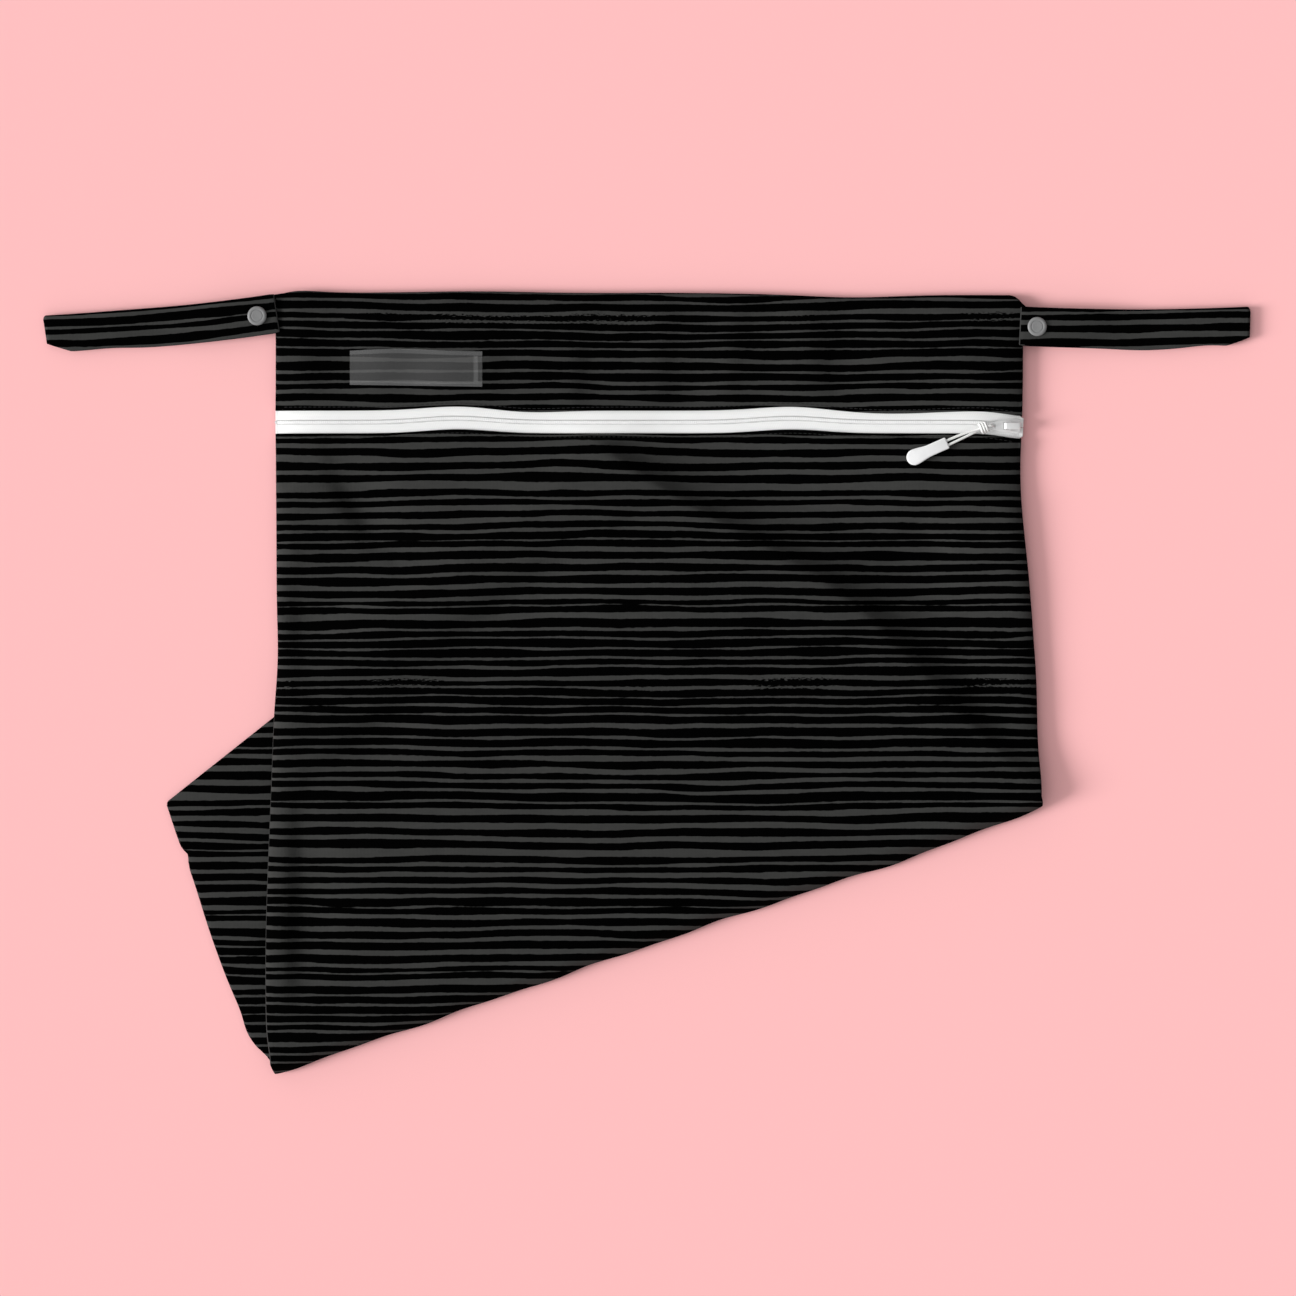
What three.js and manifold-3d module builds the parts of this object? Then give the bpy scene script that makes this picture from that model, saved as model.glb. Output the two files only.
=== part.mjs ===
// A zipped wet bag lying flat, with its lower end turned under along a slanting fold.
// Two cloth panels are sewn round the edge into a hollow pouch. The front one is split by the zip.
// Millimetres, +Z up, the bag's top towards +Y. The origin is on the table under the middle of the outline.

import * as THREE from "three";
import { mergeVertices } from "three/addons/utils/BufferGeometryUtils.js";
import Module from "manifold-3d";

const wasm = await Module();
wasm.setup();

const { clamp, lerp, smoothstep } = THREE.MathUtils;

// Cloth and gaps
const CLOTH = 1.2; // wall of the laminated cloth
const SEAM_GAP = 0.4; // between the panels where they are sewn together
const CLEARANCE = 0.3; // between pieces that touch
const FLAP_ROOM = 0.5; // between the turned-under end and the bag that lies over it

// Outline of the bag as it lies, seen from above
const TOP_LEFT = new THREE.Vector2(-228.8, 240.0);
const TOP_RIGHT = new THREE.Vector2(230.6, 238.4);
const FOLD_LEFT = new THREE.Vector2(-229.7, -240.8);
const FOLD_RIGHT = new THREE.Vector2(242.6, -76.0);
const FLAP_LEFT = new THREE.Vector2(-296.1, -74.1); // lower left corner, turned under and peeping out
const FLAP_RIGHT = new THREE.Vector2(-27.4, 138.7); // lower right corner, pressing through from below
const TOP_LEFT_CORNER = 3.0; // corner radii
const TOP_RIGHT_CORNER = 9.0;
const FLAP_CORNER = 5.0;

// Where an edge leaves its straight line: place along it (0 to 1), distance outwards, and spread
const LEFT_BOWS = [
  { at: 0.4, out: -1.5, spread: 0.2 },
  { at: 0.86, out: 3.4, spread: 0.2 },
];
const RIGHT_BOWS = [
  { at: 0.36, out: -4.6, spread: 0.17 },
  { at: 0.78, out: 1.8, spread: 0.12 },
];
const TOP_BOWS = [
  { at: 0.03, out: 0.8, spread: 0.05 },
  { at: 0.77, out: -1.7, spread: 0.08 },
];
const FLAP_LEFT_BOWS = [{ at: 0.26, out: 4.8, spread: 0.24 }];
const FLAP_RIGHT_BOWS = [{ at: 0.55, out: 25.0, spread: 0.3 }];

// Fullness of the hollow pouch
const POUCH_DEPTH = 8.0; // between the panels in the middle of the bag
const FLAP_DEPTH = 2.6; // between the panels in the turned-under end
const FOLD_DEPTH = 1.2; // between the panels where they are bent round the fold
const FOLD_RADIUS = 4.6; // of the pouch's middle round the fold
const SEAM_LIFT = 0.55; // how far the side seams rise from the table to half the depth
const SEAM_REACH = 40.0; // distances over which the cloth swells from each edge
const TOP_REACH = 35.0;
const FLAP_REACH = 30.0;
const FOLD_REACH = 70.0;
const DRAPE_REACH = 40.0; // how far from the turned-under end the bag comes down to the table
const DRAPE_MARGIN = 3.0;
const FRONT_DENTS = [
  { x: -180, y: 105, depth: 1.5, reach: 38 },
  { x: -200, y: 35, depth: 1.3, reach: 34 },
  { x: -160, y: -25, depth: 1.7, reach: 42 },
  { x: -200, y: -150, depth: 1.5, reach: 40 },
  { x: 160, y: 75, depth: 1.4, reach: 40 },
];

// Zip
const ZIP_Y = 160.1;
const ZIP_WAVES = [
  { x: -115, lift: 2.5, spread: 32 },
  { x: 89.5, lift: 2.4, spread: 30 },
  { x: 232, lift: -3.1, spread: 18 },
];
const ZIP_SHOWN = 14.0; // width of tape between the panels' edges
const ZIP_TUCK = 6.0; // tape hidden under each panel
const TAPE = 1.0; // thickness
const COIL_WIDTH = 2.6;
const COIL_TOP = 1.0; // width of the coil's flat top
const COIL_RISE = 0.6; // of the coil's top over the tape

// Where a strap or the zip passes through a side seam, the seam stands open around it
const OPENING_FADE = 8.0; // closes again over this length of seam
const OPENING_DEEP = 24.0; // and this far into the bag

// Slider, pull tab and pull tag
const SLIDER_X = 223.6;
const SLIDER = {
  length: 11.4,
  width: 8.8,
  plate: 1.2,
  under: 0.9,
  underLength: 7.6,
  underWidth: 7.8,
  underX: -1.0,
  postLength: 3.0,
  postWidth: 2.0,
  postX: 1.0,
};
const SLIDER_ROOM = 0.7; // under the tape, which bends below the slider
const BRIDGE = { length: 10.4, width: 4.0, bar: 1.4, room: 1.7 };
const TAB = {
  x: -0.6,
  length: 14.0,
  nearWidth: 6.8,
  farWidth: 4.6,
  thick: 1.0,
  bar: 1.2,
  slotWidth: 4.5,
  eyeLength: 2.9,
  eyeWidth: 2.5,
};
const TAG_END = new THREE.Vector2(184.2, 147.3);
const TAG_TURN = THREE.MathUtils.degToRad(203.8);
const TAG = { length: 28.0, neckWidth: 7.4, roundWidth: 10.4, neckLength: 12.0, thick: 2.2, bevel: 0.4 };

// Pull cord: x, y and z out of the tag, over the tab's far bar, down through its eye and back to the tag
const CORD = 1.6; // diameter
const CORD_ROUTE = [
  [184.0, 148.7, 12.2],
  [188.0, 150.4, 11.9],
  [193.0, 152.4, 11.8],
  [198.0, 154.1, 12.0],
  [202.5, 155.5, 12.5],
  [206.5, 156.8, 13.2],
  [209.0, 157.5, 13.7],
  [210.6, 157.7, 13.7],
  [211.7, 157.7, 13.1],
  [212.3, 157.65, 12.0],
  [211.9, 157.6, 10.9],
  [210.7, 157.5, 10.3],
  [209.0, 157.2, 10.2],
  [206.0, 156.2, 10.5],
  [203.0, 154.8, 11.0],
  [199.5, 153.0, 11.4],
  [195.0, 150.8, 11.6],
  [190.0, 148.4, 11.9],
  [185.2, 146.0, 12.2],
];

// Straps, each a loop whose two ends are held by a snap beside the bag
const STRAP_WIDTH = 24.0;
const STRAP_ROOM = 2.4; // between the two layers of a loop
const STRAP_TONGUE = 6.0; // sewn into the side seam
const STRAP_INSET = 2.0; // the tongue is narrower on each side
const STRAP_LEVEL = 19.0; // the strap stays at the height of the seam this far, then comes down
const STRAP_DOWN = 80.0;
const CORNER_ALONG = 14.0; // the slanted lower corner of a loop's far end
const STRAPS = [
  {
    name: "left",
    side: -1,
    root: new THREE.Vector2(-228.9, 226.4),
    bend: new THREE.Vector2(-290, 216.3),
    tip: new THREE.Vector2(-370.5, 216.3),
    overlap: 0.3,
    snapAt: 11.3,
  },
  {
    name: "right",
    side: 1,
    root: new THREE.Vector2(231.0, 218.7),
    bend: new THREE.Vector2(300, 215.4),
    tip: new THREE.Vector2(370.5, 218.2),
    overlap: 2.0,
    snapAt: 8.6,
  },
];

// Snap halves: radii, then heights
const SNAP = {
  cap: 5.9,
  crown: 4.6,
  post: 1.5,
  hole: 1.9,
  ring: 4.1,
  knob: 1.9,
  capThick: 1.3,
  ringThick: 0.5,
  knobRise: 0.5,
  socketRise: 1.0,
  socketRoof: 0.3,
};
const SNAP_REACH = 20.0; // the holes in the strap are drilled this far up and down

// Label
const LABEL = { x: -142.1, y: 193.2, width: 81.8, height: 22.8, thick: 1.0 };

// Mesh steps
const SEAM_STEPS = 5;
const MIDDLE_STEPS = 14;
const TOP_STEPS = 4;
const YOKE_STEPS = 2;
const BODY_STEPS = 9;
const FOLD_STEPS = 6;
const FLAP_STEPS = 6;
const FLAP_END_STEPS = 4;
const STRAP_BEND_STEPS = 5;
const STRAP_RANKS = [-1, -0.58, 0, 0.58, 1]; // across a strap, from edge to edge
const STRAP_RUNS = [0, 8, STRAP_LEVEL, 30, 40, 50, 60, 70, STRAP_DOWN, 105]; // along it, from the seam
const STRAP_SHOULDER = 0.01; // the tongue widens to the strap in this length
const CORD_SIDES = 8;
const CORD_STEPS = 36;
const SNAP_SIDES = 14;
const TAB_ARC_STEPS = 6;
const TAG_ARC_STEPS = 8;
const TAG_BEVEL_STEPS = 2;
const LABEL_COLUMNS = 8;
const LABEL_ROWS = 2;
const CLOSING_ROUNDS = 6; // to find a place across the bag from its x

// Colours
const PRINT = { color: 0x141414, roughness: 0.85, metalness: 0 };
const WHITE_TAPE = { color: 0xf2f2f0, roughness: 0.8, metalness: 0 };
const WHITE_PAINT = { color: 0xf4f4f2, roughness: 0.4, metalness: 0 };
const GREY_CAP = { color: 0x7d7d7d, roughness: 0.5, metalness: 0 };
const SHEER = { color: 0x8a8a88, roughness: 0.9, metalness: 0 };

const group = new THREE.Group();

function addMesh(name, geometry, look, parent = group) {
  const mesh = new THREE.Mesh(geometry, new THREE.MeshStandardMaterial(look));
  mesh.name = name;
  parent.add(mesh);
  return mesh;
}

// Smooth shapes of one value: a bell, and the quarter ellipse in which cloth swells from an edge
const bell = (offset, spread) => Math.exp(-((offset / spread) ** 2));
const swell = (distance, reach) => Math.sqrt(1 - (1 - clamp(distance / reach, 0, 1)) ** 2);
const bowed = (bows, at) => bows.reduce((sum, bow) => sum + bow.out * bell(at - bow.at, bow.spread), 0);

// How far a rounded corner of this radius drops back at a distance from the corner's other edge
function cornerDrop(distance, radius) {
  const short = Math.max(radius - distance, 0);
  return radius - Math.sqrt(radius ** 2 - short ** 2);
}

// A closed wall between two matching grids of points, rows downwards and columns to the right
function wallGeometry(upper, lower) {
  const rows = upper.length;
  const columns = upper[0].length;
  const under = rows * columns;
  const at = (row, column) => row * columns + column;
  const index = [];
  const quad = (a, b, c, d) => index.push(a, b, c, a, c, d);
  for (let row = 0; row + 1 < rows; row++) {
    for (let column = 0; column + 1 < columns; column++) {
      const a = at(row, column);
      const b = at(row + 1, column);
      const c = at(row + 1, column + 1);
      const d = at(row, column + 1);
      quad(a, b, c, d);
      quad(under + a, under + d, under + c, under + b);
    }
  }
  const rim = [];
  for (let row = 0; row < rows; row++) {
    rim.push(at(row, 0));
  }
  for (let column = 1; column < columns; column++) {
    rim.push(at(rows - 1, column));
  }
  for (let row = rows - 2; row >= 0; row--) {
    rim.push(at(row, columns - 1));
  }
  for (let column = columns - 2; column > 0; column--) {
    rim.push(at(0, column));
  }
  rim.forEach((here, step) => {
    const next = rim[(step + 1) % rim.length];
    quad(next, here, under + here, under + next);
  });
  const geometry = new THREE.BufferGeometry().setFromPoints([...upper.flat(), ...lower.flat()]);
  geometry.setIndex(index);
  return geometry;
}

// Boolean joins and cuts
function solidOf(geometry) {
  const bare = new THREE.BufferGeometry();
  bare.setAttribute("position", geometry.getAttribute("position"));
  bare.setIndex(geometry.getIndex());
  const merged = mergeVertices(bare, 1e-4);
  return new wasm.Manifold(
    new wasm.Mesh({
      numProp: 3,
      vertProperties: new Float32Array(merged.getAttribute("position").array),
      triVerts: new Uint32Array(merged.getIndex().array),
    }),
  );
}

function geometryOf(solid) {
  const mesh = solid.getMesh();
  const geometry = new THREE.BufferGeometry();
  geometry.setAttribute("position", new THREE.BufferAttribute(mesh.vertProperties, 3));
  geometry.setIndex(new THREE.BufferAttribute(mesh.triVerts, 1));
  return geometry;
}

// The fold: its direction, the way out of the bag across it, and the lines where the cloth starts to bend
const foldAlong = FOLD_RIGHT.clone().sub(FOLD_LEFT).normalize();
const foldOut = new THREE.Vector2(foldAlong.y, -foldAlong.x);
const foldThick = FOLD_RADIUS + FOLD_DEPTH / 2 + CLOTH;
const bendLeft = FOLD_LEFT.clone().addScaledVector(foldOut, -foldThick);
const bendRight = FOLD_RIGHT.clone().addScaledVector(foldOut, -foldThick);
const flapRightEdge = FLAP_RIGHT.clone().sub(bendRight);
const flapRightOut = new THREE.Vector2(flapRightEdge.y, -flapRightEdge.x).normalize();
const fromBend = (x, y) => (bendLeft.x - x) * foldOut.x + (bendLeft.y - y) * foldOut.y;

// Heights of the flap's stack of cloth and of the roll of cloth beside the fold
const flapStack = 2 * CLOTH + FLAP_DEPTH + FLAP_ROOM;
const rollRise = 2 * FOLD_RADIUS - flapStack;

// How far inside the line from start to end (inside on its right) a point of the plan is
function insideLine(start, end, x, y) {
  const along = end.clone().sub(start).normalize();
  return (x - start.x) * along.y - (y - start.y) * along.x;
}

// The same for the flap's right edge, which bows outwards
function insideFlapRight(x, y) {
  const fromFold = new THREE.Vector2(x, y).sub(bendRight);
  const along = fromFold.dot(flapRightEdge) / flapRightEdge.lengthSq();
  return insideLine(FLAP_RIGHT, bendRight, x, y) + bowed(FLAP_RIGHT_BOWS, along);
}

// 1 where the bag lies over its turned-under end, then falling away from the crease at that end's edge
function overFlap(x, y) {
  const hang = (inside) => (1 - clamp((-inside - DRAPE_MARGIN) / DRAPE_REACH, 0, 1)) ** 2;
  return hang(insideLine(FLAP_LEFT, FLAP_RIGHT, x, y)) * hang(insideFlapRight(x, y));
}

// The zip's middle line in the plan
const zipY = (x) => ZIP_WAVES.reduce((y, wave) => y + wave.lift * bell(x - wave.x, wave.spread), ZIP_Y);

// Room between the panels at the open stretches of the side seams
const strapRoom = CLOTH + 3 * CLEARANCE;
const zipRoom = TAPE + 3 * CLEARANCE;
const tapeEdge = ZIP_SHOWN / 2 + ZIP_TUCK;
const seamOpenings = [
  { side: -1, y: STRAPS[0].root.y, half: STRAP_WIDTH / 2, room: strapRoom },
  { side: 1, y: STRAPS[1].root.y, half: STRAP_WIDTH / 2, room: strapRoom },
  { side: -1, y: zipY(TOP_LEFT.x), half: tapeEdge, room: zipRoom },
  { side: 1, y: zipY(TOP_RIGHT.x), half: tapeEdge, room: zipRoom },
];

function seamRoom(y, fromLeft, fromRight) {
  let room = 0;
  for (const opening of seamOpenings) {
    const inward = opening.side < 0 ? fromLeft : fromRight;
    const beyond = Math.abs(y - opening.y) - opening.half;
    const alongSeam = 1 - smoothstep(beyond, 0, OPENING_FADE);
    const intoBag = 1 - smoothstep(inward, OPENING_FADE, OPENING_DEEP);
    room = Math.max(room, opening.room * alongSeam * intoBag);
  }
  return room;
}

// Top edge and bend line of the main part at a place across the bag (0 at the left seam, 1 at the right)
const bagWidth = TOP_RIGHT.x - TOP_LEFT.x;
function topY(across) {
  const straight = lerp(TOP_LEFT.y, TOP_RIGHT.y, across) + bowed(TOP_BOWS, across);
  const left = cornerDrop(across * bagWidth, TOP_LEFT_CORNER);
  const right = cornerDrop((1 - across) * bagWidth, TOP_RIGHT_CORNER);
  return straight - left - right;
}
const bendY = (across) => lerp(bendLeft.y, bendRight.y, across);

// Levels of the cloth in a stack: the back panel's outer and inner faces, then the front panel's
const BACK_OUT = 0;
const BACK_IN = 1;
const FRONT_IN = 2;
const FRONT_OUT = 3;

// The four faces of the pouch at a place across the main part and a height y up the plan
function mainStation(across, y) {
  const down = (topY(across) - y) / (topY(across) - bendY(across));
  const left = lerp(TOP_LEFT.x, bendLeft.x, down) - bowed(LEFT_BOWS, down);
  const right = lerp(TOP_RIGHT.x, bendRight.x, down) + bowed(RIGHT_BOWS, down);
  const x = lerp(left, right, across);
  const fromLeft = across * (right - left);
  const fromRight = (1 - across) * (right - left);
  const sides = swell(fromLeft, SEAM_REACH) * swell(fromRight, SEAM_REACH);
  const full = sides * swell(topY(across) - y, TOP_REACH);
  const clear = smoothstep(fromBend(x, y), 0, FOLD_REACH);
  const dent = FRONT_DENTS.reduce(
    (sum, each) => sum + each.depth * bell(Math.hypot(x - each.x, y - each.y), each.reach),
    0,
  );
  const swollen = SEAM_GAP + full * (lerp(FOLD_DEPTH, POUCH_DEPTH - dent, clear) - SEAM_GAP);
  const depth = Math.max(swollen, seamRoom(y, fromLeft, fromRight));
  const lift = SEAM_LIFT * (POUCH_DEPTH / 2) * (1 - full) * clear;
  const low = overFlap(x, y) * flapStack + rollRise * (1 - clear) + lift;
  const levels = [low, low + CLOTH, low + CLOTH + depth, low + 2 * CLOTH + depth];
  return levels.map((z) => new THREE.Vector3(x, y, z));
}

// The same at a point of the plan, found by closing in on its place across the bag
function mainStationAt(x, y) {
  let across = (x - TOP_LEFT.x) / bagWidth;
  for (let round = 0; round < CLOSING_ROUNDS; round++) {
    across += (x - mainStation(across, y)[FRONT_OUT].x) / bagWidth;
  }
  return mainStation(across, y);
}

// Depth between the panels in the fold and the flap, from the distance to the nearest sewn edges
function foldDepth(across) {
  const width = bendRight.distanceTo(bendLeft);
  const full = swell(across * width, SEAM_REACH) * swell((1 - across) * width, SEAM_REACH);
  return SEAM_GAP + full * (FOLD_DEPTH - SEAM_GAP);
}

// The four faces where the cloth bends round the fold, turned from 0 (main part) to half a turn (flap)
function foldStation(across, turn) {
  const depth = foldDepth(across);
  const middle = FOLD_RADIUS + depth / 2 + CLOTH;
  const foot = bendLeft.clone().lerp(bendRight, across);
  const levels = [-depth / 2 - CLOTH, -depth / 2, depth / 2, depth / 2 + CLOTH];
  return levels.map((level) => {
    const radius = FOLD_RADIUS + level;
    const out = foot.clone().addScaledVector(foldOut, radius * Math.sin(turn));
    return new THREE.Vector3(out.x, out.y, middle + radius * Math.cos(turn));
  });
}

// The four faces of the turned-under flap, from the bend (0) to the bottom seam (1)
function flapStation(across, share) {
  const bendPoint = bendLeft.clone().lerp(bendRight, across);
  const endPoint = FLAP_LEFT.clone().lerp(FLAP_RIGHT, across);
  const length = bendPoint.distanceTo(endPoint);
  const width = FLAP_RIGHT.distanceTo(FLAP_LEFT);
  const fromLeft = across * width;
  const fromRight = (1 - across) * width;
  const rounded = cornerDrop(fromLeft, FLAP_CORNER) + cornerDrop(fromRight, FLAP_CORNER);
  const along = share * (1 - rounded / length);
  const left = bendLeft.clone().lerp(FLAP_LEFT, along);
  left.x -= bowed(FLAP_LEFT_BOWS, along) * smoothstep(along, 0, FLAP_LEFT_BOWS[0].at / 2);
  const right = bendRight.clone().lerp(FLAP_RIGHT, along);
  const rightBow = bowed(FLAP_RIGHT_BOWS, along) * smoothstep(along, 0, FLAP_RIGHT_BOWS[0].at / 2);
  right.addScaledVector(flapRightOut, rightBow);
  const foot = left.lerp(right, across);
  const sides = swell(fromLeft, FLAP_REACH) * swell(fromRight, FLAP_REACH);
  const full = sides * swell((1 - share) * length, FLAP_REACH);
  const clear = smoothstep(share * length, 0, FOLD_REACH);
  const flat = SEAM_GAP + full * (FLAP_DEPTH - SEAM_GAP);
  const depth = lerp(foldDepth(across), flat, clear);
  return [2 * CLOTH + depth, CLOTH + depth, CLOTH, 0].map((z) => new THREE.Vector3(foot.x, foot.y, z));
}

// Places across the bag, closer together where the cloth swells from the side seams
function columnShares() {
  const near = [];
  for (let step = 0; step < SEAM_STEPS; step++) {
    near.push((SEAM_REACH / bagWidth) * (1 - Math.cos(((step / SEAM_STEPS) * Math.PI) / 2)));
  }
  const first = SEAM_REACH / bagWidth;
  const middle = [];
  for (let step = 0; step <= MIDDLE_STEPS; step++) {
    middle.push(lerp(first, 1 - first, step / MIDDLE_STEPS));
  }
  const far = near.map((share) => 1 - share).reverse();
  return [...near, ...middle, ...far];
}
const columns = columnShares();

// Rows of the main part: close together under the top seam, even from a start line to the bend
function topRows() {
  const rows = [];
  for (let step = 0; step < TOP_STEPS; step++) {
    const drop = TOP_REACH * (1 - Math.cos(((step / TOP_STEPS) * Math.PI) / 2));
    rows.push(columns.map((across) => mainStation(across, topY(across) - drop)));
  }
  return rows;
}

function evenRows(startY, endY, steps) {
  const rows = [];
  for (let step = 0; step <= steps; step++) {
    const rowY = (across) => lerp(startY(across), endY(across), step / steps);
    rows.push(columns.map((across) => mainStation(across, rowY(across))));
  }
  return rows;
}

// Rows round the fold and down the flap, closer together at the bottom seam
function foldAndFlapRows() {
  const rows = [];
  for (let step = 1; step <= FOLD_STEPS; step++) {
    rows.push(columns.map((across) => foldStation(across, (step / FOLD_STEPS) * Math.PI)));
  }
  const length = bendLeft.distanceTo(FLAP_LEFT);
  const evenEnd = 1 - FLAP_REACH / length;
  for (let step = 1; step <= FLAP_STEPS; step++) {
    rows.push(columns.map((across) => flapStation(across, (step / FLAP_STEPS) * evenEnd)));
  }
  for (let step = FLAP_END_STEPS - 1; step >= 0; step--) {
    const share = 1 - (1 - evenEnd) * (1 - Math.cos(((step / FLAP_END_STEPS) * Math.PI) / 2));
    rows.push(columns.map((across) => flapStation(across, share)));
  }
  return rows;
}

const face = (rows, level) => rows.map((row) => row.map((station) => station[level]));

// The x of a place across the bag at the zip, and the edges of the panels beside the tape
const zipX = (across) => mainStation(across, ZIP_Y)[FRONT_OUT].x;
const zipEdge = (offset) => (across) => zipY(zipX(across)) + offset;

// Panels
const headEnd = (across) => topY(across) - TOP_REACH;
const zipRow = (offset) => columns.map((across) => mainStation(across, zipEdge(offset)(across)));
const yokeRows = [...topRows(), ...evenRows(headEnd, zipEdge(tapeEdge), YOKE_STEPS), zipRow(ZIP_SHOWN / 2)];
addMesh("front_panel_upper", wallGeometry(face(yokeRows, FRONT_OUT), face(yokeRows, FRONT_IN)), PRINT);

const bodyRows = evenRows(zipEdge(-tapeEdge), bendY, BODY_STEPS);
const frontRows = [zipRow(-ZIP_SHOWN / 2), ...bodyRows, ...foldAndFlapRows()];
addMesh("front_panel_lower", wallGeometry(face(frontRows, FRONT_OUT), face(frontRows, FRONT_IN)), PRINT);

const backRows = [...yokeRows, ...frontRows];
addMesh("back_panel", wallGeometry(face(backRows, BACK_IN), face(backRows, BACK_OUT)), PRINT);

// Zip tapes, each tucked under the edge of its panel, and the coil between them
function zipStrip(offsets, places) {
  const strip = (drop) =>
    offsets.map((offset) =>
      places.map((across) => {
        const point = mainStation(across, zipEdge(offset.y)(across))[FRONT_IN].clone();
        point.z += offset.z - drop;
        return point;
      }),
    );
  return wallGeometry(strip(CLEARANCE), strip(CLEARANCE + TAPE));
}

const tapeLines = [tapeEdge, ZIP_SHOWN / 2, COIL_WIDTH / 2 + CLEARANCE];
const upperTape = tapeLines.map((y) => ({ y, z: 0 }));
const lowerTape = tapeLines.map((y) => ({ y: -y, z: 0 })).reverse();
addMesh("zipper_tape_upper", zipStrip(upperTape, columns), WHITE_TAPE);
addMesh("zipper_tape_lower", zipStrip(lowerTape, columns), WHITE_TAPE);

const sliderStart = SLIDER_X - SLIDER.length / 2 - CLEARANCE;
const coilPlaces = columns.filter((across) => zipX(across) < sliderStart - COIL_WIDTH);
coilPlaces.push((sliderStart - zipX(0)) / (zipX(1) - zipX(0)));
const coilRidge = [
  { y: COIL_WIDTH / 2, z: 0 },
  { y: COIL_TOP / 2, z: COIL_RISE },
  { y: -COIL_TOP / 2, z: COIL_RISE },
  { y: -COIL_WIDTH / 2, z: 0 },
];
addMesh("zipper_coil", zipStrip(coilRidge, coilPlaces), WHITE_TAPE);

// Slider: a plate over and a plate under the tapes, joined by a post between them, with a bridge on top
const sliderGroup = new THREE.Group();
const tapeTop = (x) => mainStationAt(x, zipY(x))[FRONT_IN].z - CLEARANCE;
const sliderRise = tapeTop(SLIDER_X + SLIDER.length / 2) - tapeTop(SLIDER_X - SLIDER.length / 2);
sliderGroup.position.set(SLIDER_X, zipY(SLIDER_X), tapeTop(SLIDER_X));
sliderGroup.rotation.y = -Math.atan(sliderRise / SLIDER.length);
group.add(sliderGroup);

function boxAt(length, width, low, high, x = 0) {
  return new THREE.BoxGeometry(length, width, high - low).translate(x, 0, (low + high) / 2);
}

const plateLow = CLEARANCE;
const plateTop = plateLow + SLIDER.plate;
const underTop = -TAPE - SLIDER_ROOM;

function bridgeGeometry() {
  const half = BRIDGE.length / 2;
  const roof = BRIDGE.room + BRIDGE.bar;
  const outline = new THREE.Shape();
  outline.moveTo(-half, -CLEARANCE);
  outline.lineTo(half, -CLEARANCE);
  outline.lineTo(half, roof - BRIDGE.bar / 2);
  outline.lineTo(half - BRIDGE.bar / 2, roof);
  outline.lineTo(-half + BRIDGE.bar / 2, roof);
  outline.lineTo(-half, roof - BRIDGE.bar / 2);
  const room = new THREE.Path();
  room.moveTo(-half + BRIDGE.bar, 0);
  room.lineTo(-half + BRIDGE.bar, BRIDGE.room);
  room.lineTo(half - BRIDGE.bar, BRIDGE.room);
  room.lineTo(half - BRIDGE.bar, 0);
  outline.holes.push(room);
  const geometry = new THREE.ExtrudeGeometry(outline, { depth: BRIDGE.width, bevelEnabled: false });
  return geometry.rotateX(Math.PI / 2).translate(0, BRIDGE.width / 2, plateTop);
}

function sliderGeometry() {
  const underLow = underTop - SLIDER.under;
  const postLow = underTop - SLIDER.under / 2;
  const postHigh = plateLow + SLIDER.plate / 2;
  const plate = boxAt(SLIDER.length, SLIDER.width, plateLow, plateTop);
  const under = boxAt(SLIDER.underLength, SLIDER.underWidth, underLow, underTop, SLIDER.underX);
  const post = boxAt(SLIDER.postLength, SLIDER.postWidth, postLow, postHigh, SLIDER.postX);
  const plates = solidOf(plate).add(solidOf(under)).add(solidOf(post));
  return geometryOf(plates.add(solidOf(bridgeGeometry())));
}
addMesh("zipper_slider", sliderGeometry(), WHITE_PAINT, sliderGroup);

// Pull tab: its near bar lies under the bridge, and its far eye holds the cord
function tabGeometry() {
  const nearHalf = TAB.nearWidth / 2;
  const farHalf = TAB.farWidth / 2;
  const outline = new THREE.Shape();
  outline.moveTo(0, -nearHalf + TAB.bar / 2);
  outline.lineTo(0, nearHalf - TAB.bar / 2);
  outline.lineTo(-TAB.bar / 2, nearHalf);
  outline.lineTo(-TAB.length / 2, nearHalf);
  outline.lineTo(-TAB.length + farHalf, farHalf);
  outline.absarc(-TAB.length + farHalf, 0, farHalf, Math.PI / 2, (3 * Math.PI) / 2, false);
  outline.lineTo(-TAB.length / 2, -nearHalf);
  outline.lineTo(-TAB.bar / 2, -nearHalf);
  const slotHalf = TAB.slotWidth / 2;
  const slotEnd = -TAB.length / 2;
  const slot = new THREE.Path();
  slot.moveTo(-TAB.bar, -slotHalf);
  slot.lineTo(slotEnd, -slotHalf);
  slot.lineTo(slotEnd, slotHalf);
  slot.lineTo(-TAB.bar, slotHalf);
  const eyeFar = -TAB.length + TAB.bar;
  const eye = new THREE.Path();
  eye.moveTo(eyeFar, -TAB.eyeWidth / 2);
  eye.lineTo(eyeFar, TAB.eyeWidth / 2);
  eye.lineTo(eyeFar + TAB.eyeLength, TAB.eyeWidth / 2);
  eye.lineTo(eyeFar + TAB.eyeLength, -TAB.eyeWidth / 2);
  outline.holes.push(slot, eye);
  const sweep = { depth: TAB.thick, bevelEnabled: false, curveSegments: TAB_ARC_STEPS };
  return new THREE.ExtrudeGeometry(outline, sweep);
}

const tab = addMesh("pull_tab", tabGeometry(), WHITE_PAINT, sliderGroup);
tab.position.set(TAB.x, 0, plateTop + CLEARANCE);

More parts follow.
